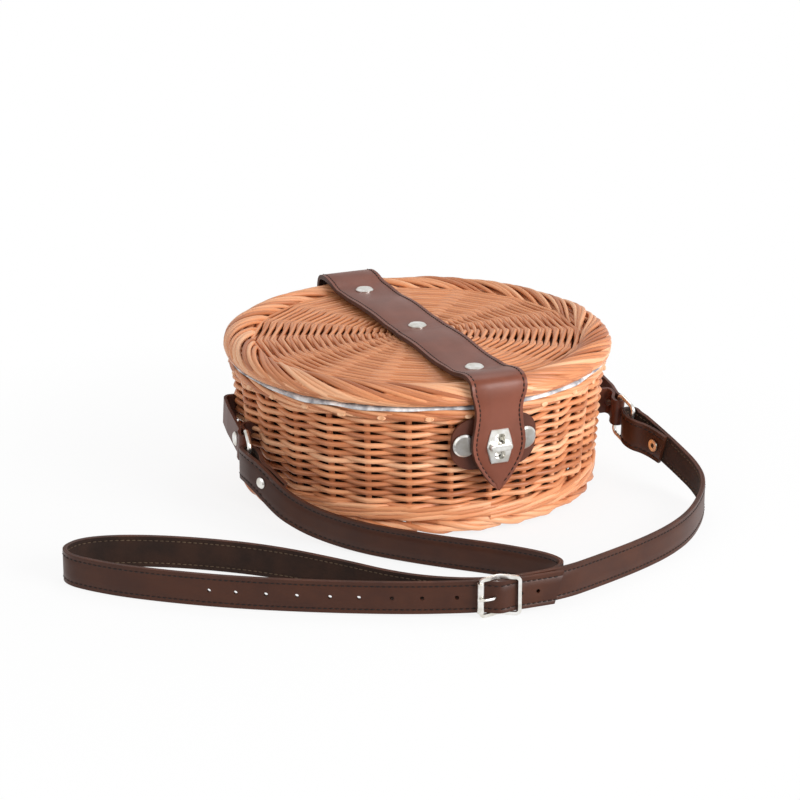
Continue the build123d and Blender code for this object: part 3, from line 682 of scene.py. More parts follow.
def disc_rods(inner, outer, pitch, rod, depth, height, seed):
    """Waling in a flat spiral, straight from spoke to spoke. height(radius) gives the disc's z."""
    edge = math.pi / SPOKES
    slow = wobble(seed, 0.0006)

    def place(angle, turns, side, lead, thick):
        local = (angle / (2 * edge)) % 1 - 0.5
        chord = math.cos(edge) / math.cos(local * 2 * edge)
        radius = (inner + turns * pitch + 0.2 * pitch * lead + slow(angle + turns)) * chord
        turned = angle + SPOKE_PHASE
        return (radius * math.cos(turned), radius * math.sin(turned), height(radius) + depth * side, thick)

    return waling(SPOKES, int((outer - inner) / pitch), place, rod)


def spoke_rods(reach, rod, height):
    """The star of sticks: each lies right across the disc."""
    rods = []
    for k in range(SPOKES // 2):
        angle = 2 * math.pi * k / SPOKES + SPOKE_PHASE
        places = [-reach + 2 * reach * step / 12 for step in range(13)]
        rods.append(([(r * math.cos(angle), r * math.sin(angle), height(abs(r)), rod) for r in places], False))
    return rods


print("disc helpers ready")

# %% [markdown]
# The base is flat and lies inside the foot border, under the lining. It shows only from below, so
# one helper weaves it with the same rods as the lid.
# %% Base
def base_height(r):
    return 0.0066


base = disc_rods(0.006, 0.103, 0.0040, 0.0013, 0.0020, base_height, seed=300)
base += spoke_rods(0.104, 0.0017, base_height)
weave("base_woven", base, "basket", "base_weave", "base_sticks")

# %% [markdown]
# The lid is the same weave, a little coarser and slightly domed. Its border is the thickest of the
# three: a roll of triple strands, a lower roll of double ones, and a few rods that run the other
# way between them.
# %% Lid
def lid_height(r):
    return 0.0924 - 0.19 * r * r


lid = disc_rods(0.007, 0.1115, 0.0046, 0.00134, 0.0029, lid_height, seed=400)
lid += spoke_rods(0.111, 0.0018, lid_height)
weave("lid_woven", lid, "lid", "lid_weave", "lid_sticks")
rim = rolled_border(26, 3, (0.1128, 0.0914), (0.0092, 0.0058), sweep=44, turn=(168, -60), rod=0.00162,
                    seed=5, shift=0.29, spread=0.55)
rim += rolled_border(28, 2, (0.1164, 0.0909), (0.0056, 0.0036), sweep=48, turn=(74, -80), rod=0.0015,
                     seed=15, shift=0.6, spread=0.5)
rim += rolled_border(26, 2, (0.1150, 0.0908), (0.0062, 0.0042), sweep=-16, turn=(75, -50), rod=0.0014,
                     seed=25, shift=0.1, spread=0.2)
rim += core_ring(0.1100, 0.0908, 0.0036) + core_ring(0.1155, 0.0906, 0.0038)
weave("lid_braid", rim, "lid", "lid_border")

# %% [markdown]
# Where a willow end is cut off, its slanted face is paler than the bark side and longer than the
# rod is wide. Each one is a low oval with a small chamfer, and lies at a place of its own: under
# the top border along the wall, and here and there on the lid's border.
# %% Cut ends
CUT_WILLOW = willow_finish("cut_willow", "F2C6A0", "E2A87C", "BC7C50")
CUT_SIDES, CUT_LONG, CUT_WIDE = 14, 0.0027, 0.0016
CUT_LAYERS = ((1.0, -0.0012), (1.0, 0.0002), (0.84, 0.0006))


def cut_ends(name, places, body):
    """Cut faces, each given by a point, the direction it faces and the one it is longer along."""
    verts, faces = [], []
    for point, out, along in places:
        point, out, along = Vector(point), Vector(out).normalized(), Vector(along).normalized()
        across = out.cross(along)
        first = len(verts)
        for size, lift in CUT_LAYERS:
            for k in range(CUT_SIDES):
                turn = 2 * math.pi * k / CUT_SIDES
                rim_point = along * CUT_LONG * math.cos(turn) + across * CUT_WIDE * math.sin(turn)
                verts.append(point + rim_point * size + out * lift)
        for ring in range(2):
            for k in range(CUT_SIDES):
                a, b = first + ring * CUT_SIDES + k, first + ring * CUT_SIDES + (k + 1) % CUT_SIDES
                faces.append((a, b, b + CUT_SIDES, a + CUT_SIDES))
        faces.append(tuple(first + 2 * CUT_SIDES + k for k in range(CUT_SIDES)))
        faces.append(tuple(first + k for k in reversed(range(CUT_SIDES))))
    piece = mesh_piece(name, verts, faces, [CUT_WILLOW])
    attribute = piece.data.attributes.new("rod", "FLOAT_VECTOR", "POINT")
    attribute.data.foreach_set("vector", [c for v in verts for c in (v.x * 9, v.z * 9, (v.x * 977) % 1)])
    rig.ride(piece, body)
    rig.slot(piece, "willow")
    print(name, len(places))


places = []
for k in range(STAKES):
    angle = 2 * math.pi * (k + 0.42) / STAKES + random.uniform(-0.02, 0.02)
    z = 0.0792 + random.uniform(-0.0006, 0.0006)
    places.append((round_the_bag(angle, 0.1199, z), round_the_bag(angle - 0.35, 1, 0.25),
                   round_the_bag(angle + math.pi / 2, 1, 0.05)))
cut_ends("cut_ends_of_wall", places, "basket")
places = []
for k in range(SPOKES):
    angle = 2 * math.pi * k / SPOKES - SPOKE_PHASE + random.uniform(-0.02, 0.02)
    radius = random.uniform(0.1125, 0.1165)
    places.append((round_the_bag(angle, radius, 0.0958 - (radius - 0.1125) * 0.35),
                   round_the_bag(angle - 0.4, 0.75, 1), round_the_bag(angle + math.pi / 2, 1, 0.1)))
cut_ends("cut_ends_of_lid", places, "lid")

# %% [markdown]
# The lining is a cloth bag sewn into the basket: a round floor and a wall. Its hem is folded out
# over the basket's top border, and shows under the lid as a thin, slightly wavy band. A profile
# turned round the bag gives the cloth, and uneven waves loosen its wall and its hem.
# %% Shape of the lining
LINING_PROFILE = [
    (0.0, 0.0112), (0.05, 0.0112), (0.094, 0.0112), (0.0995, 0.0128), (0.1018, 0.020), (0.1040, 0.048),
    (0.1056, 0.070), (0.1072, 0.0795), (0.1105, 0.0850), (0.1150, 0.0862), (0.1185, 0.0861), (0.1204, 0.0852),
    (0.1209, 0.0842), (0.1211, 0.0829),
]
ROUND = 112
WALL_RINGS, HEM_RING = (4, 5, 6), 10
HEM_RADIUS, HEM_Z = 0.1160, 0.0860
hem_wave, hem_dip, wall_fold = wobble(71, 0.0011), wobble(72, 0.0007), wobble(73, 0.0016)


def lining_point(ring, radius, z, angle):
    """A point of the cloth. The hem hangs lowest a little left of the front."""
    if ring in WALL_RINGS:
        return round_the_bag(angle, radius + wall_fold(angle * 3), z)
    if ring < HEM_RING:
        return round_the_bag(angle, radius, z)
    edge = (ring - HEM_RING + 1) / 4
    front = 0.5 + 0.5 * math.cos(angle + math.radians(24))
    shown = min(1.0, max(0.0, 0.18 + 0.62 * front ** 0.7 + 420 * hem_dip(angle * 2)))
    radius = HEM_RADIUS + (radius - HEM_RADIUS) * (0.35 + 0.65 * shown) + 0.5 * edge * hem_wave(angle * 2)
    z = HEM_Z + (z - HEM_Z) * shown + 0.9 * edge * hem_wave(angle * 4) * shown
    return round_the_bag(angle, radius, z)


verts, faces = [(0.0, 0.0, LINING_PROFILE[0][1])], []
for ring, (radius, z) in enumerate(LINING_PROFILE[1:], 1):
    verts += [lining_point(ring, radius, z, 2 * math.pi * k / ROUND) for k in range(ROUND)]
for k in range(ROUND):
    faces.append((0, 1 + k, 1 + (k + 1) % ROUND))
for ring in range(len(LINING_PROFILE) - 2):
    for k in range(ROUND):
        a, b = 1 + ring * ROUND + k, 1 + ring * ROUND + (k + 1) % ROUND
        faces.append((a, a + ROUND, b + ROUND, b))
print("lining points", len(verts))

# %% [markdown]
# The cloth is white with a grey mottled print inside. Behind, where it meets the willow, it is
# painted plain and dark as shade, so that the gaps of the weave look dark. It is made as one surface,
# which Solidify gives its thickness and its second finish, the painted shade behind, and Subdivision Surface softens.
# The area is measured before the thickness comes.
# %% Lining
CLOTH = toned_finish("printed_lining", ("F4F3F2", "85868D"), 120.0, (2600.0, 0.35, 0.0002), 0.85)
# Painted shade: the back of the cloth is dark brown so that the weave's gaps look shaded.
CLOTH_BACK_PAINTED_SHADE = toned_finish("lining_back", ("4A2E1B", "3A2315"), 200.0, (2600.0, 0.35, 0.0002), 0.85)
lining = mesh_piece("lining_cloth", verts, faces, [CLOTH, CLOTH_BACK_PAINTED_SHADE])
face_outwards(lining)
if lining.data.polygons[0].normal.z < 0:
    lining.data.flip_normals()
cloth_area = sum(face.area for face in lining.data.polygons)
# material_offset gives the back shell the painted shade.
finish_with(lining, "SOLIDIFY", thickness=0.0006, offset=-1, material_offset=1)
finish_with(lining, "SUBSURF", levels=1, render_levels=1)
bpy.ops.object.shade_smooth()
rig.ride(lining, "basket")
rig.replaces(lining, "lining")
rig.slot(lining, "lining")
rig.sheet(lining, flat=(0.70, 0.2), held="gathered", rests_on=["top_border", "base_weave"],
         area=round(cloth_area, 3))
print("lining area", round(cloth_area, 4))

# %% [markdown]
# Leather is dyed through on its face and darker where it is cut. Its grain is a fine relief, and
# its tone changes slowly, a little lighter where it is rubbed. The broad strap is redder than the
# shoulder strap, whose two layers are smooth leather outside and dark suede inside.
# %% Leather and thread
def leather_finish(name, light, dark, roughness, grain=0.25):
    return toned_finish(name, (light, dark), 60.0, (1500.0, grain, 0.0003), roughness, specular=0.3)


LEATHER = leather_finish("chestnut_leather", "5A3124", "4F2A1E", 0.42)
SUEDE = leather_finish("dark_suede", "352016", "24150E", 0.85, 0.6)
THREAD = leather_finish("dark_thread", "1D100B", "140A07", 0.6)
PALE_THREAD = leather_finish("worn_thread", "5C4A39", "48382B", 0.7)
SMOOTH = leather_finish("strap_leather_smooth", "42200F", "391A0C", 0.4, 0.2)
EDGE = leather_finish("strap_leather_edge", "512B1B", "3A1E13", 0.5, 0.3)
BROAD = leather_finish("broad_strap_leather", "7A4433", "6F3D2D", 0.38, 0.2)
print("finishes", [m.name for m in (LEATHER, SUEDE, THREAD, PALE_THREAD, SMOOTH, EDGE, BROAD)])

# %% [markdown]
# The rings, rivets, lock and buckle are nickel plated, and the eyelet is brass. Their solids keep
# their shape, so they only take a finish, chosen by the material slot in the record.
# %% Metal, and finishes of the solids
def metal_finish(name, colour, roughness):
    return toned_finish(name, (colour, "D6D2C8"), 180.0, (700.0, 0.05, 0.0001), roughness, metallic=1.0)


NICKEL = metal_finish("polished_nickel", "F4F3F0", 0.28)
BRASS = metal_finish("eyelet_brass", "EEDCB2", 0.3)
finishes = {"leather": LEATHER, "strap_leather": LEATHER, "nickel": NICKEL, "brass": BRASS}
for part in frame["record"]["subparts"]:
    finish = finishes.get(part["material_slot"])
    if finish:
        node = nodes[part["node"]]
        node.data.materials.clear()
        node.data.materials.append(finish)
print("finishes on", sum(1 for n in nodes.values() if n.data.materials))

# %% [markdown]
# A strip of leather has a flat section with rounded edges, a groove near each edge where the
# stitches lie, and a fine seam in the middle of the cut edge. Its faces take three finishes:
# smooth outside, the painted cut edge, and suede inside.
# %% Section of a strip
GROOVE, SEAM_INSET = 0.00026, 0.0028
OUTSIDE, CUT_EDGE, INSIDE = 0, 1, 2


def strip_section(half_width, half_thick):
    """The section's points as (across, out), anticlockwise, and the finish of the face after each."""
    w, t = half_width, half_thick
    soft = min(0.0005, w * 0.15)
    seam = max(w - SEAM_INSET, w * 0.45)
    side = [(w - soft * 0.6, t), (seam + soft, t), (seam, t - GROOVE), (seam - soft, t), (seam * 0.4, t * 1.02)]
    front = side + [(-x, y) for x, y in reversed(side)]
    left = [(-w, t * 0.66), (-w, t * 0.14), (-w + soft * 0.4, 0), (-w, -t * 0.14), (-w, -t * 0.66)]
    back = [(x, -y) for x, y in reversed(front)]
    right = [(-x, y) for x, y in reversed(left)]
    finish = [OUTSIDE] * (len(front) - 1) + [CUT_EDGE] * (len(left) + 1)
    finish += [INSIDE] * (len(back) - 1) + [CUT_EDGE] * (len(right) + 1)
    return front + left + back + right, finish


print("points in a section", len(strip_section(0.01, 0.001)[0]))

# %% [markdown]
# A strip follows a line. At each point of the line it has a direction across, along which its
# width lies, and a direction out of its face, which is square to both. The sections are joined
# one to the next, which is what Blender's bridge does, with the width free to change on the way.
# %% Strip
def square_to(wide, tangent):
    """The width's direction made square to the line, and the direction out of the face."""
    wide = (wide - tangent * wide.dot(tangent)).normalized()
    return wide, wide.cross(tangent)


def strip(name, line, across, widths, half_thick, finishes):
    """A strip of leather along a line of points. across(k) is the width's direction there."""
    lengths = [0.0]
    for before, here in zip(line, line[1:]):
        lengths.append(lengths[-1] + (here - before).length)
    verts, quads, slots = [], [], []
    for k, point in enumerate(line):
        tangent = (line[min(k + 1, len(line) - 1)] - line[max(k - 1, 0)]).normalized()
        wide, out = square_to(across(k), tangent)
        loop, finish = strip_section(widths[k], half_thick)
        verts += [point + wide * x + out * y for x, y in loop]
    count = len(loop)
    for ring in range(len(line) - 1):
        for j in range(count):
            a, b = ring * count + j, ring * count + (j + 1) % count
            quads.append((a, b, b + count, a + count))
            slots.append(finish[j])
    last = (len(line) - 1) * count
    quads += [tuple(reversed(range(count))), tuple(range(last, last + count))]
    slots += [CUT_EDGE, CUT_EDGE]
    piece = mesh_piece(name, verts, quads, finishes, slots)
    face_outwards(piece)
    bpy.ops.object.shade_smooth_by_angle(angle=math.radians(50))
    print(name, "length", round(lengths[-1], 4), "faces", len(quads))
    return piece, lengths


print("strip helper ready")

# %% [markdown]
# Leather bends in smooth curves. A NURBS spline passes near its control points without touching
# them, so a few points give a smooth line. Blender makes a mesh of it without a bevel, and the
# points of that mesh are the line that a strip follows.
# %% Smooth lines
def curve_points(name, points, resolution=10):
    """Read points from a NURBS spline with these control points."""
    data = bpy.data.curves.new(name, "CURVE")
    data.dimensions = "3D"
    data.resolution_u = resolution
    spline = data.splines.new("NURBS")
    spline.points.add(len(points) - 1)
    for target, point in zip(spline.points, points):
        target.co = (*point, 1)
    spline.order_u = 3
    spline.use_endpoint_u = True
    route = bpy.data.objects.new(name, data)
    bpy.context.scene.collection.objects.link(route)
    bpy.context.view_layer.update()
    mesh = bpy.data.meshes.new_from_object(route)
    read = [v.co.copy() for v in mesh.vertices]
    bpy.data.meshes.remove(mesh)
    bpy.data.objects.remove(route)
    return read


print("line helper ready")

# %% [markdown]
# The straps are sewn with dark thread along both edges. A stitch is a short bead, pointed at its
# ends, that lies in the groove. It has only a few faces, because there are hundreds. On the suede
# side the thread is worn and paler.
# %% Stitches
BEAD_SIDES, BEAD_THICK = 5, 0.00042
BEAD_RINGS = ((-0.00122, 0.35), (-0.0006, 1), (0.0006, 1), (0.00122, 0.35))


def bead(verts, quads, middle, along, wide, out):
    """Add one stitch to the points and faces."""
    first = len(verts)
    for reach, thick in BEAD_RINGS:
        for j in range(BEAD_SIDES):
            turn = 2 * math.pi * j / BEAD_SIDES
            round_it = wide * math.cos(turn) + out * math.sin(turn)
            verts.append(middle + along * reach + round_it * BEAD_THICK * thick)
    for ring in range(len(BEAD_RINGS) - 1):
        for j in range(BEAD_SIDES):
            a, b = first + ring * BEAD_SIDES + j, first + ring * BEAD_SIDES + (j + 1) % BEAD_SIDES
            quads.append((a, b, b + BEAD_SIDES, a + BEAD_SIDES))
    quads.append(tuple(first + j for j in reversed(range(BEAD_SIDES))))
    quads.append(tuple(len(verts) - BEAD_SIDES + j for j in range(BEAD_SIDES)))


def stitches(name, line, lengths, across, offset_at, lift, pitch=0.0034, span=(0.003, 0.003), faces=(1, -1)):
    """Two rows of stitches, offset_at(k, share) from the middle and lift out of it, on these faces."""
    verts, quads, slots = [], [], []
    at, k = span[0], 0
    while at < lengths[-1] - span[1]:
        while lengths[k + 1] < at:
            k += 1
        run = lengths[k + 1] - lengths[k]
        share = (at - lengths[k]) / run
        point = line[k].lerp(line[k + 1], share)
        tangent = (line[k + 1] - line[k]).normalized()
        wide, out = square_to(across(k), tangent)
        offset = offset_at(k, share)
        slope = (offset_at(k, 1.0) - offset_at(k, 0.0)) / run
        for side in (1, -1):
            along = (tangent + wide * slope * side).normalized()
            for face in faces:
                before = len(quads)
                bead(verts, quads, point + wide * offset * side + out * lift * face, along, wide, out)
                slots += [0 if face == 1 else 1] * (len(quads) - before)
        at += pitch
    piece = mesh_piece(name, verts, quads, [THREAD, PALE_THREAD], slots)
    face_outwards(piece)
    bpy.ops.object.shade_smooth()
    print(name, "faces", len(quads))
    return piece


print("stitch helpers ready")

# %% [markdown]
# Holes and cut corners come last, as a maker punches them in a finished strip: the punches are
# joined to one body and taken out with a boolean. They carry the strip's finishes, so that the
# wall of each hole shows the cut edge.
# %% Punch
def cut(piece, cutters):
    """Take the cutters out of a piece, and delete them."""
    for cutter in cutters:
        for material in piece.data.materials:
            cutter.data.materials.append(material)
        cutter.data.polygons.foreach_set("material_index", [CUT_EDGE] * len(cutter.data.polygons))
    select_only(cutters[0])
    for cutter in cutters:
        cutter.select_set(True)
    if len(cutters) > 1:
        bpy.ops.object.join()
    punches = bpy.context.active_object
    finish_with(piece, "BOOLEAN", object=punches, operation="DIFFERENCE", solver="EXACT")
    bpy.data.objects.remove(punches)


print("punch ready")

# %% [markdown]
# The broad strap is one strip of leather from the hinge at the back, over the lid and down the
# front. It bends at two places, behind the lid and in front of it, so it is made as two lengths
# that meet under the middle rivet: each of them crosses one hinge. Its line is given in
# millimetres, and so is its half width where it is not 18.5 mm.
# %% Measures of the broad strap
BROAD_THICK, BROAD_HALF, BROAD_SEAM = 0.0015, 0.0185, 0.0026
REAR_LINE = [
    (0, 98.6), (8, 98.75), (20, 99.7), (38, 100.4), (56, 99.9), (72, 98.4), (88.7, 97.2), (97, 98.2),
    (104, 100.6), (111, 102.2), (118, 102.3), (124.5, 100.8), (126.9, 95), (126.4, 88.5), (125.6, 81),
    (125.4, 72), (125.4, 60), (125.4, 52), (125.4, 46.2),
]
FRONT_LINE = [
    (0, 98.6), (-8, 98.75), (-20, 99.9), (-38, 100.3), (-56, 99.0), (-72, 98.3), (-88.7, 97.3), (-96.5, 98.2),
    (-104, 100.8), (-112, 103.0), (-119, 103.2), (-124.4, 101.0), (-125.6, 94.4), (-125.0, 87), (-125.0, 78),
    (-125.0, 66), (-125.0, 54), (-125.0, 44), (-125.0, 36), (-125.0, 32.0),
]
TAB_WIDTHS = [
    (31.9, 0.3), (33, 1.7), (36, 4.8), (40, 8.1), (44, 10.9), (48, 13.4), (53, 16.0), (58, 17.4),
    (62, 17.8), (67, 17.4), (73, 16.3), (79, 15.6), (83.5, 15.5), (88, 16.2), (94.8, 18.2), (98, 18.5),
]
TAIL_WIDTHS = [
    (46.0, 0.8), (46.4, 4.5), (47.5, 8.6), (49.5, 12.2), (53, 15.6), (57, 17.6), (61, 18.4), (64, 18.5),
]


def width_from(table, z):
    """Half the width in metres at a height, read from a table of (height, half width) in mm."""
    z /= MM
    for (low, first), (high, second) in zip(table, table[1:]):
        if z <= high:
            share = max(0.0, (z - low) / (high - low))
            return (first + (second - first) * share) * MM
    return BROAD_HALF


print("half width of the tab at the lock", width_from(TAB_WIDTHS, 0.0608))

# %% [markdown]
# Three rivets pull the strap down to the lid, and between them it stands up in low waves. At a
# rivet its edges curl up a little, and between rivets it leans now to one side and now to the
# other. The tab has a slot with rounded corners, through which the lock's bar passes.
# %% Broad strap
RIVET_Y, CURL = 0.0887, 0.0021
DOWN_THE_SIDE_Y, CURL_FROM_Z = 0.11, 0.094


def broad_length(name, profile, table, face_sign):
    """One length of the broad strap and its stitches. face_sign turns its smooth side out."""
    line = curve_points(name, [(0, y * MM, z * MM) for y, z in profile], 16)
    lean = wobble(len(profile), 0.030)
    count = len(line)
    leans = [lean(4.2 * k / count) if 8 < k < count * 0.45 else 0 for k in range(count)]
    widths = [width_from(table, p.z) if abs(p.y) > DOWN_THE_SIDE_Y else BROAD_HALF for p in line]

    def sideways(k):
        return Vector((1, 0, leans[k])) * face_sign

    def seam(k, share):
        following = widths[min(k + 1, count - 1)]
        return max(widths[k] + (following - widths[k]) * share - BROAD_SEAM, 0.0004)

    piece, lengths = strip(name, line, sideways, widths, BROAD_THICK, (BROAD, EDGE, SUEDE))
    sewn = stitches(name + "_stitches", line, lengths, sideways, seam, BROAD_THICK - 0.00008,
                    pitch=0.0031, span=(0.0016, 0.004), faces=(1,))
    for made in (piece, sewn):
        for vertex in made.data.vertices:
            x, y, z = vertex.co
            if z > CURL_FROM_Z:
                outer = math.exp(-((abs(y) - RIVET_Y) / 0.014) ** 2)
                middle = 0.5 * math.exp(-(y / 0.012) ** 2)
                vertex.co.z += CURL * (outer + middle) * (x / BROAD_HALF) ** 2
        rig.slot(made, "leather")
    return piece, sewn


rear_piece, rear_sewn = broad_length("broad_strap_rear", REAR_LINE, TAIL_WIDTHS, 1)
front_piece, front_sewn = broad_length("broad_strap_front", FRONT_LINE, TAB_WIDTHS, -1)
bpy.ops.mesh.primitive_cube_add(size=1, location=(0, -0.125, 0.0608), scale=(0.0080, 0.012, 0.0176))
slot_cutter = bpy.context.active_object
bpy.ops.object.transform_apply(location=True, rotation=True, scale=True)
finish_with(slot_cutter, "BEVEL", width=0.0026, segments=4)
cut(front_piece, [slot_cutter])
for piece in (rear_piece, rear_sewn):
    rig.blend(piece, "basket", "lid", start=(0, 0.1259, 0.0812), end=(0, 0.1259, 0.0886))
for piece in (front_piece, front_sewn):
    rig.blend(piece, "lid", "tab", start=(0, -0.1180, 0.1030), end=(0, -0.1254, 0.0950))
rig.replaces(rear_piece, "hinge_bend", "hinge_tail")
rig.replaces(front_piece, "lid_strap", "tab_bend", "strap_tab")
print("faces of the tab's length", len(front_piece.data.polygons))

# %% [markdown]
# The shoulder strap stands on its edge on the floor. It leaves the left ring, crosses in front of
# the bag, turns back to the left, turns again and comes forward through the roller buckle. The
# short half comes round from the right ring and ends in the fold that holds the buckle. Each
# route is a few control points in millimetres, and a NURBS curve runs smoothly past them.
# %% Strap routes
BUCKLE_X, BUCKLE_Y, BUCKLE_Z, BUCKLE_TURN = -49.7, -237.3, 12.15, math.radians(-10.5)


def near_buckle(along, out, z=BUCKLE_Z):
    """A point beside the buckle: along the strap to the right, and out to the front."""
    return (BUCKLE_X + along * math.cos(BUCKLE_TURN) + out * math.sin(BUCKLE_TURN),
            BUCKLE_Y + along * math.sin(BUCKLE_TURN) - out * math.cos(BUCKLE_TURN), z)


def metres(points):
    return [tuple(c * MM for c in p) for p in points]


LONG_ROUTE = metres([
    (-123.3, -56, 26.6), (-120.6, -62.4, 22.6), (-114.4, -72, 17), (-103, -87, 11.5), (-87, -113, 10),
    (-68, -136, 10), (-47, -157.5, 10), (-27, -176, 10), (-11.5, -193, 10), (-2, -207, 10),
    (-0.6, -218.5, 10), (-9.5, -226.6, 10), (-27, -228, 10), (-48, -227, 10), (-72, -217.5, 10),
    (-97, -198, 10), (-120, -165, 10), (-150, -128, 10), (-188, -98, 10), (-222, -79.5, 10),
    (-247, -73.5, 10), (-261.5, -80.5, 10), (-264.5, -93, 10), (-256.5, -106.5, 10), (-236, -129, 10),
    (-192, -163, 10), (-144, -191, 10), near_buckle(-52, -12.6, 10.9), near_buckle(-19, -4.4),
    near_buckle(-8.6, -3.8), near_buckle(-2.2, 0.3), near_buckle(2.4, 0.3), near_buckle(9, -2.9),
    near_buckle(16, -3.7), near_buckle(39.5, -8.1),
])
SHORT_ROUTE = metres([
    (137.45, -86, 24.8), (139.6, -96.4, 21.4), (142, -114, 16), (138.5, -131.5, 12.2), (126, -150.5, 10),
    (106, -174, 10), (83, -191.5, 10), (55.5, -205.5, 10), (24, -219, 10.7),
    near_buckle(39, -11.4), near_buckle(13.1, -6.9),
])
long_line, short_line = curve_points("long_route", LONG_ROUTE), curve_points("short_route", SHORT_ROUTE)
print("points on the routes", len(long_line), len(short_line))

# %% [markdown]
# All parts of the shoulder strap are the same leather: 20 mm wide, with a row of stitches near
# each edge. Its width stands upright, and a strip that runs the other way has it turned over, so
# that the smooth side always faces outwards.
# %% Lengths of the shoulder strap
STRAP_HALF, STRAP_THICK = 0.0099, 0.00138
ROW_OFFSET, ROW_LIFT = 0.0071, 0.00128
UPRIGHT = Vector((0, 0, 1))
FACES = (SMOOTH, EDGE, SUEDE)


def upward(k):
    return UPRIGHT


def downward(k):
    return -UPRIGHT


def strap_row(k, share):
    return ROW_OFFSET


def strap_length_on(name, line, across, node, thick=STRAP_THICK, sewn=True):
    """A piece of the shoulder strap in place of a solid, with its two rows of stitches."""
    piece, lengths = strip(name, line, across, [STRAP_HALF] * len(line), thick, FACES)
    rows = []
    if sewn:
        rows_name = name.removesuffix("_half") + "_stitches"
        rows.append(stitches(rows_name, line, lengths, across, strap_row, ROW_LIFT))
    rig.replaces(piece, node)
    for made in [piece] + rows:
        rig.slot(made, "strap_leather")
    return piece, rows, lengths


print("strap helper ready")

# %% [markdown]
# The long half ends in a free tip that is cut aslant. It has twelve round holes, punched by hand
# at uneven distances in millimetres from the one in which the buckle's prong stands.
# %% Long half of the strap
HOLES = (-166, -150.2, -132.4, -114.4, -95.1, -78.4, -59.3, -42, -22.1, 0, 16.5, 27.1)
TIP_SLOPE = math.atan2(6.0, 19.8)
strap_long, long_rows, lengths = strap_length_on("strap_long_half", long_line, downward, "strap_long")
prong_hole = Vector(near_buckle(-3, 0.3)) * MM
prong_at = min(range(len(long_line)), key=lambda k: (long_line[k] - prong_hole).length)
cutters = []
for distance in HOLES:
    along = lengths[prong_at] + distance * MM
    k = max(i for i in range(len(lengths) - 1) if lengths[i] <= along)
    tangent = (long_line[k + 1] - long_line[k]).normalized()
    bpy.ops.mesh.primitive_cylinder_add(
        vertices=16, radius=0.00125, depth=0.008, location=long_line[k] + tangent * (along - lengths[k]),
        rotation=tangent.cross(UPRIGHT).to_track_quat("Z", "Y").to_euler())
    cutters.append(bpy.context.active_object)
tip, ahead = long_line[-1], (long_line[-1] - long_line[-3]).normalized()
normal = ahead * math.cos(TIP_SLOPE) - UPRIGHT * math.sin(TIP_SLOPE)
side = UPRIGHT.cross(ahead)
turned = Matrix((normal, side, normal.cross(side))).transposed().to_euler()
bpy.ops.mesh.primitive_cube_add(size=1, location=tip - ahead * 0.003 + normal * 0.010, rotation=turned,
                                scale=(0.020, 0.010, 0.040))
cutters.append(bpy.context.active_object)
cut(strap_long, cutters)
for piece in [strap_long] + long_rows:
    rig.blend(piece, "ring_left_swinging", "basket", start=LONG_ROUTE[0], end=LONG_ROUTE[4])
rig.cord(strap_long, exit=LONG_ROUTE[0], length=round(lengths[-1], 3), diameter=2 * STRAP_HALF, far_end="bare",
        stiffness="medium", lay="loose", path=long_line, with_pieces=long_rows)
print("long half", round(lengths[-1], 3))

# %% [markdown]
# The short half comes from the right ring. Near the ring it follows the ring's swing, and further
# on it stays where it lies. The long half is blended in the same way.
# %% Short half of the strap
strap_short, short_rows, lengths = strap_length_on("strap_short_half", short_line, upward, "strap_short")
short_length = lengths[-1]
for piece in [strap_short] + short_rows:
    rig.blend(piece, "ring_right_swinging", "basket", start=SHORT_ROUTE[0], end=SHORT_ROUTE[3])
print("short half", round(short_length, 3))

# %% [markdown]
# The strap is folded back round each ring and round the buckle's bar, and riveted or sewn to
# itself. Each fold is a short strip along a tight loop. The one at the buckle is pared thin, and
# it is the last piece on the short half, which is now declared as a cord with its buckle.
# %% Folds of the strap
LEFT_FOLD = metres([
    (-123.3, -56, 26.6), (-127.1, -47, 32.1), (-130.2, -37.5, 34.9), (-130.2, -23.2, 34.9),
    (-121.8, -23.2, 34.9), (-121.8, -38.5, 34.9), (-124, -46.6, 32.2), (-120.4, -54.8, 27.4),
    (-117.2, -61, 23.5),
])
RIGHT_FOLD = metres([
    (137.45, -86, 24.8), (132.9, -64, 31.7), (130.2, -58, 33.6), (128.6, -52, 35.6), (120.1, -52, 35.6),
    (120.1, -64, 31.7), (129.9, -72.6, 29), (134, -84, 25.4),
])
BUCKLE_FOLD = metres([
    near_buckle(13, -6.15), near_buckle(7, -5.05), near_buckle(2, -2), near_buckle(-2.2, -1.9),
    near_buckle(-2.2, -6.1), near_buckle(2, -6), near_buckle(7, -6.75), near_buckle(13, -7.6),
])
PARED = 0.0007


def fold(name, route, across, body, node, **how):
    piece, rows, _ = strap_length_on(name, curve_points(name, route, 14), across, node, **how)
    for made in [piece] + rows:
        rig.ride(made, body)
    return piece


fold("fold_at_left_ring", LEFT_FOLD, upward, "ring_left_swinging", "end_fold_left")
fold("fold_at_right_ring", RIGHT_FOLD, downward, "ring_right_swinging", "end_fold_right")
buckle_fold = fold("fold_at_buckle", BUCKLE_FOLD, downward, "basket", "buckle_fold", thick=PARED, sewn=False)
buckle = [nodes[name] for name in ("buckle_frame", "buckle_bar", "buckle_roller", "buckle_prong")]
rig.cord(strap_short, exit=SHORT_ROUTE[0], length=round(short_length, 3), diameter=2 * STRAP_HALF,
        far_end="fitting", stiffness="medium", lay="loose", path=short_line,
        with_pieces=short_rows + [buckle_fold] + buckle)
print("pieces on the short half", len(short_rows) + 1 + len(buckle))

# %% [markdown]
# The floor is plain and pale. To the camera and in reflections it glows white, which Light Path
# tells apart from the light that it gives back to the bag. Near the bag the glow is a little
# weaker, so that the shadow shows.
# %% Floor
def seen_directly(tree):
    """1 for the camera and for reflections, and 0 for all other light."""
    path = tree.nodes.new("ShaderNodeLightPath")
    return number_from(tree, "MAXIMUM", path.outputs["Is Camera Ray"], path.outputs["Is Glossy Ray"])


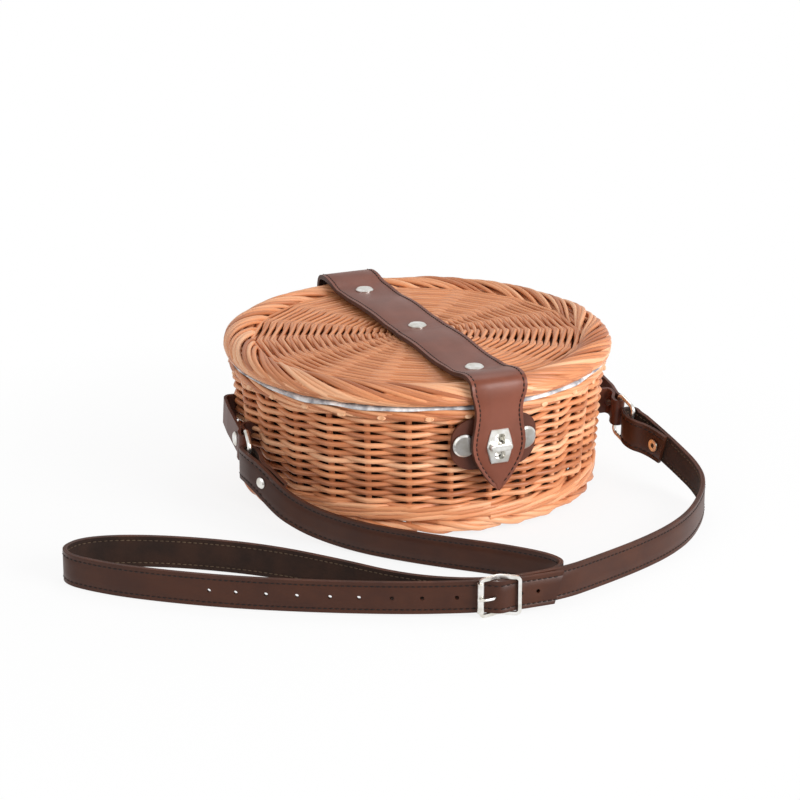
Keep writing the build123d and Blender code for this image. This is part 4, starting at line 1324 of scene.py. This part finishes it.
def mixed(tree, factor, first, second, end):
    """Mix two shaders, and join the result to the end of the tree."""
    mix = tree.nodes.new("ShaderNodeMixShader")
    for socket, source in zip(mix.inputs, (factor, first, second)):
        tree.links.new(source, socket)
    tree.links.new(mix.outputs["Shader"], end.inputs["Surface"])


bpy.ops.mesh.primitive_plane_add(size=12, location=(0, 0, -0.0004))
floor = bpy.context.active_object
floor.name = "floor"
material, tree, shader = start_material("pale_floor", 0.9)
shader.inputs["Base Color"].default_value = (0.92, 0.92, 0.92, 1)
glow = tree.nodes.new("ShaderNodeEmission")
glow.inputs["Strength"].default_value = 1.0
place = tree.nodes.new("ShaderNodeTexCoord")
from_bag = tree.nodes.new("ShaderNodeVectorMath")
from_bag.operation = "DISTANCE"
from_bag.inputs[1].default_value = (-0.07, -0.08, 0)
far = tree.nodes.new("ShaderNodeMapRange")
far.inputs["From Min"].default_value = 0.05
far.inputs["From Max"].default_value = 0.42
far.inputs["To Min"].default_value = 0.82
tree.links.new(place.outputs["Object"], from_bag.inputs[0])
tree.links.new(from_bag.outputs["Value"], far.inputs["Value"])
glow_share = number_from(tree, "MULTIPLY", far.outputs["Result"], seen_directly(tree))
mixed(tree, glow_share, shader.outputs["BSDF"], glow.outputs["Emission"], tree.nodes["Material Output"])
floor.data.materials.append(material)
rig.stage(floor)
print("stage", floor.name)

# %% [markdown]
# A world of even white light fills the shadows, and three area lamps stand round the bag: the key
# in front on the right, a weaker one on the left, and one above and behind, which draws a light
# edge along the lid.
# %% World and lamps
world = bpy.data.worlds.new("studio")
bpy.context.scene.world = world
world.use_nodes = True
tree = world.node_tree
background = tree.nodes["Background"]
background.inputs["Color"].default_value = (1, 1, 1, 1)
background.inputs["Strength"].default_value = 0.42
bright = tree.nodes.new("ShaderNodeBackground")
bright.inputs["Strength"].default_value = 1.0
mixed(tree, seen_directly(tree), background.outputs["Background"], bright.outputs["Background"],
      tree.nodes["World Output"])


def lamp(name, azimuth, elevation, distance, size, power):
    bpy.ops.object.light_add(type="AREA", location=direction(azimuth, elevation) * distance)
    made = bpy.context.active_object
    made.name = name
    made.data.size = size
    made.data.energy = power
    made.rotation_euler = direction(azimuth, elevation).to_track_quat("Z", "Y").to_euler()


lamp("soft_key", 28, 20, 1.6, 0.9, 26)
lamp("soft_fill", -75, 30, 1.8, 1.2, 7)
lamp("top_light", 150, 62, 1.5, 0.8, 4)
bpy.context.scene.view_settings.view_transform = "Standard"
print("lamps", len(bpy.data.lights))

# %% [markdown]
# The size of the dressed bag is kept beside that of its solids, to compare them.
# %% Finish
with open("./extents.json", "w") as out:
    json.dump({"cad": cad_box, "visual": [list(c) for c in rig.bounds()]}, out)
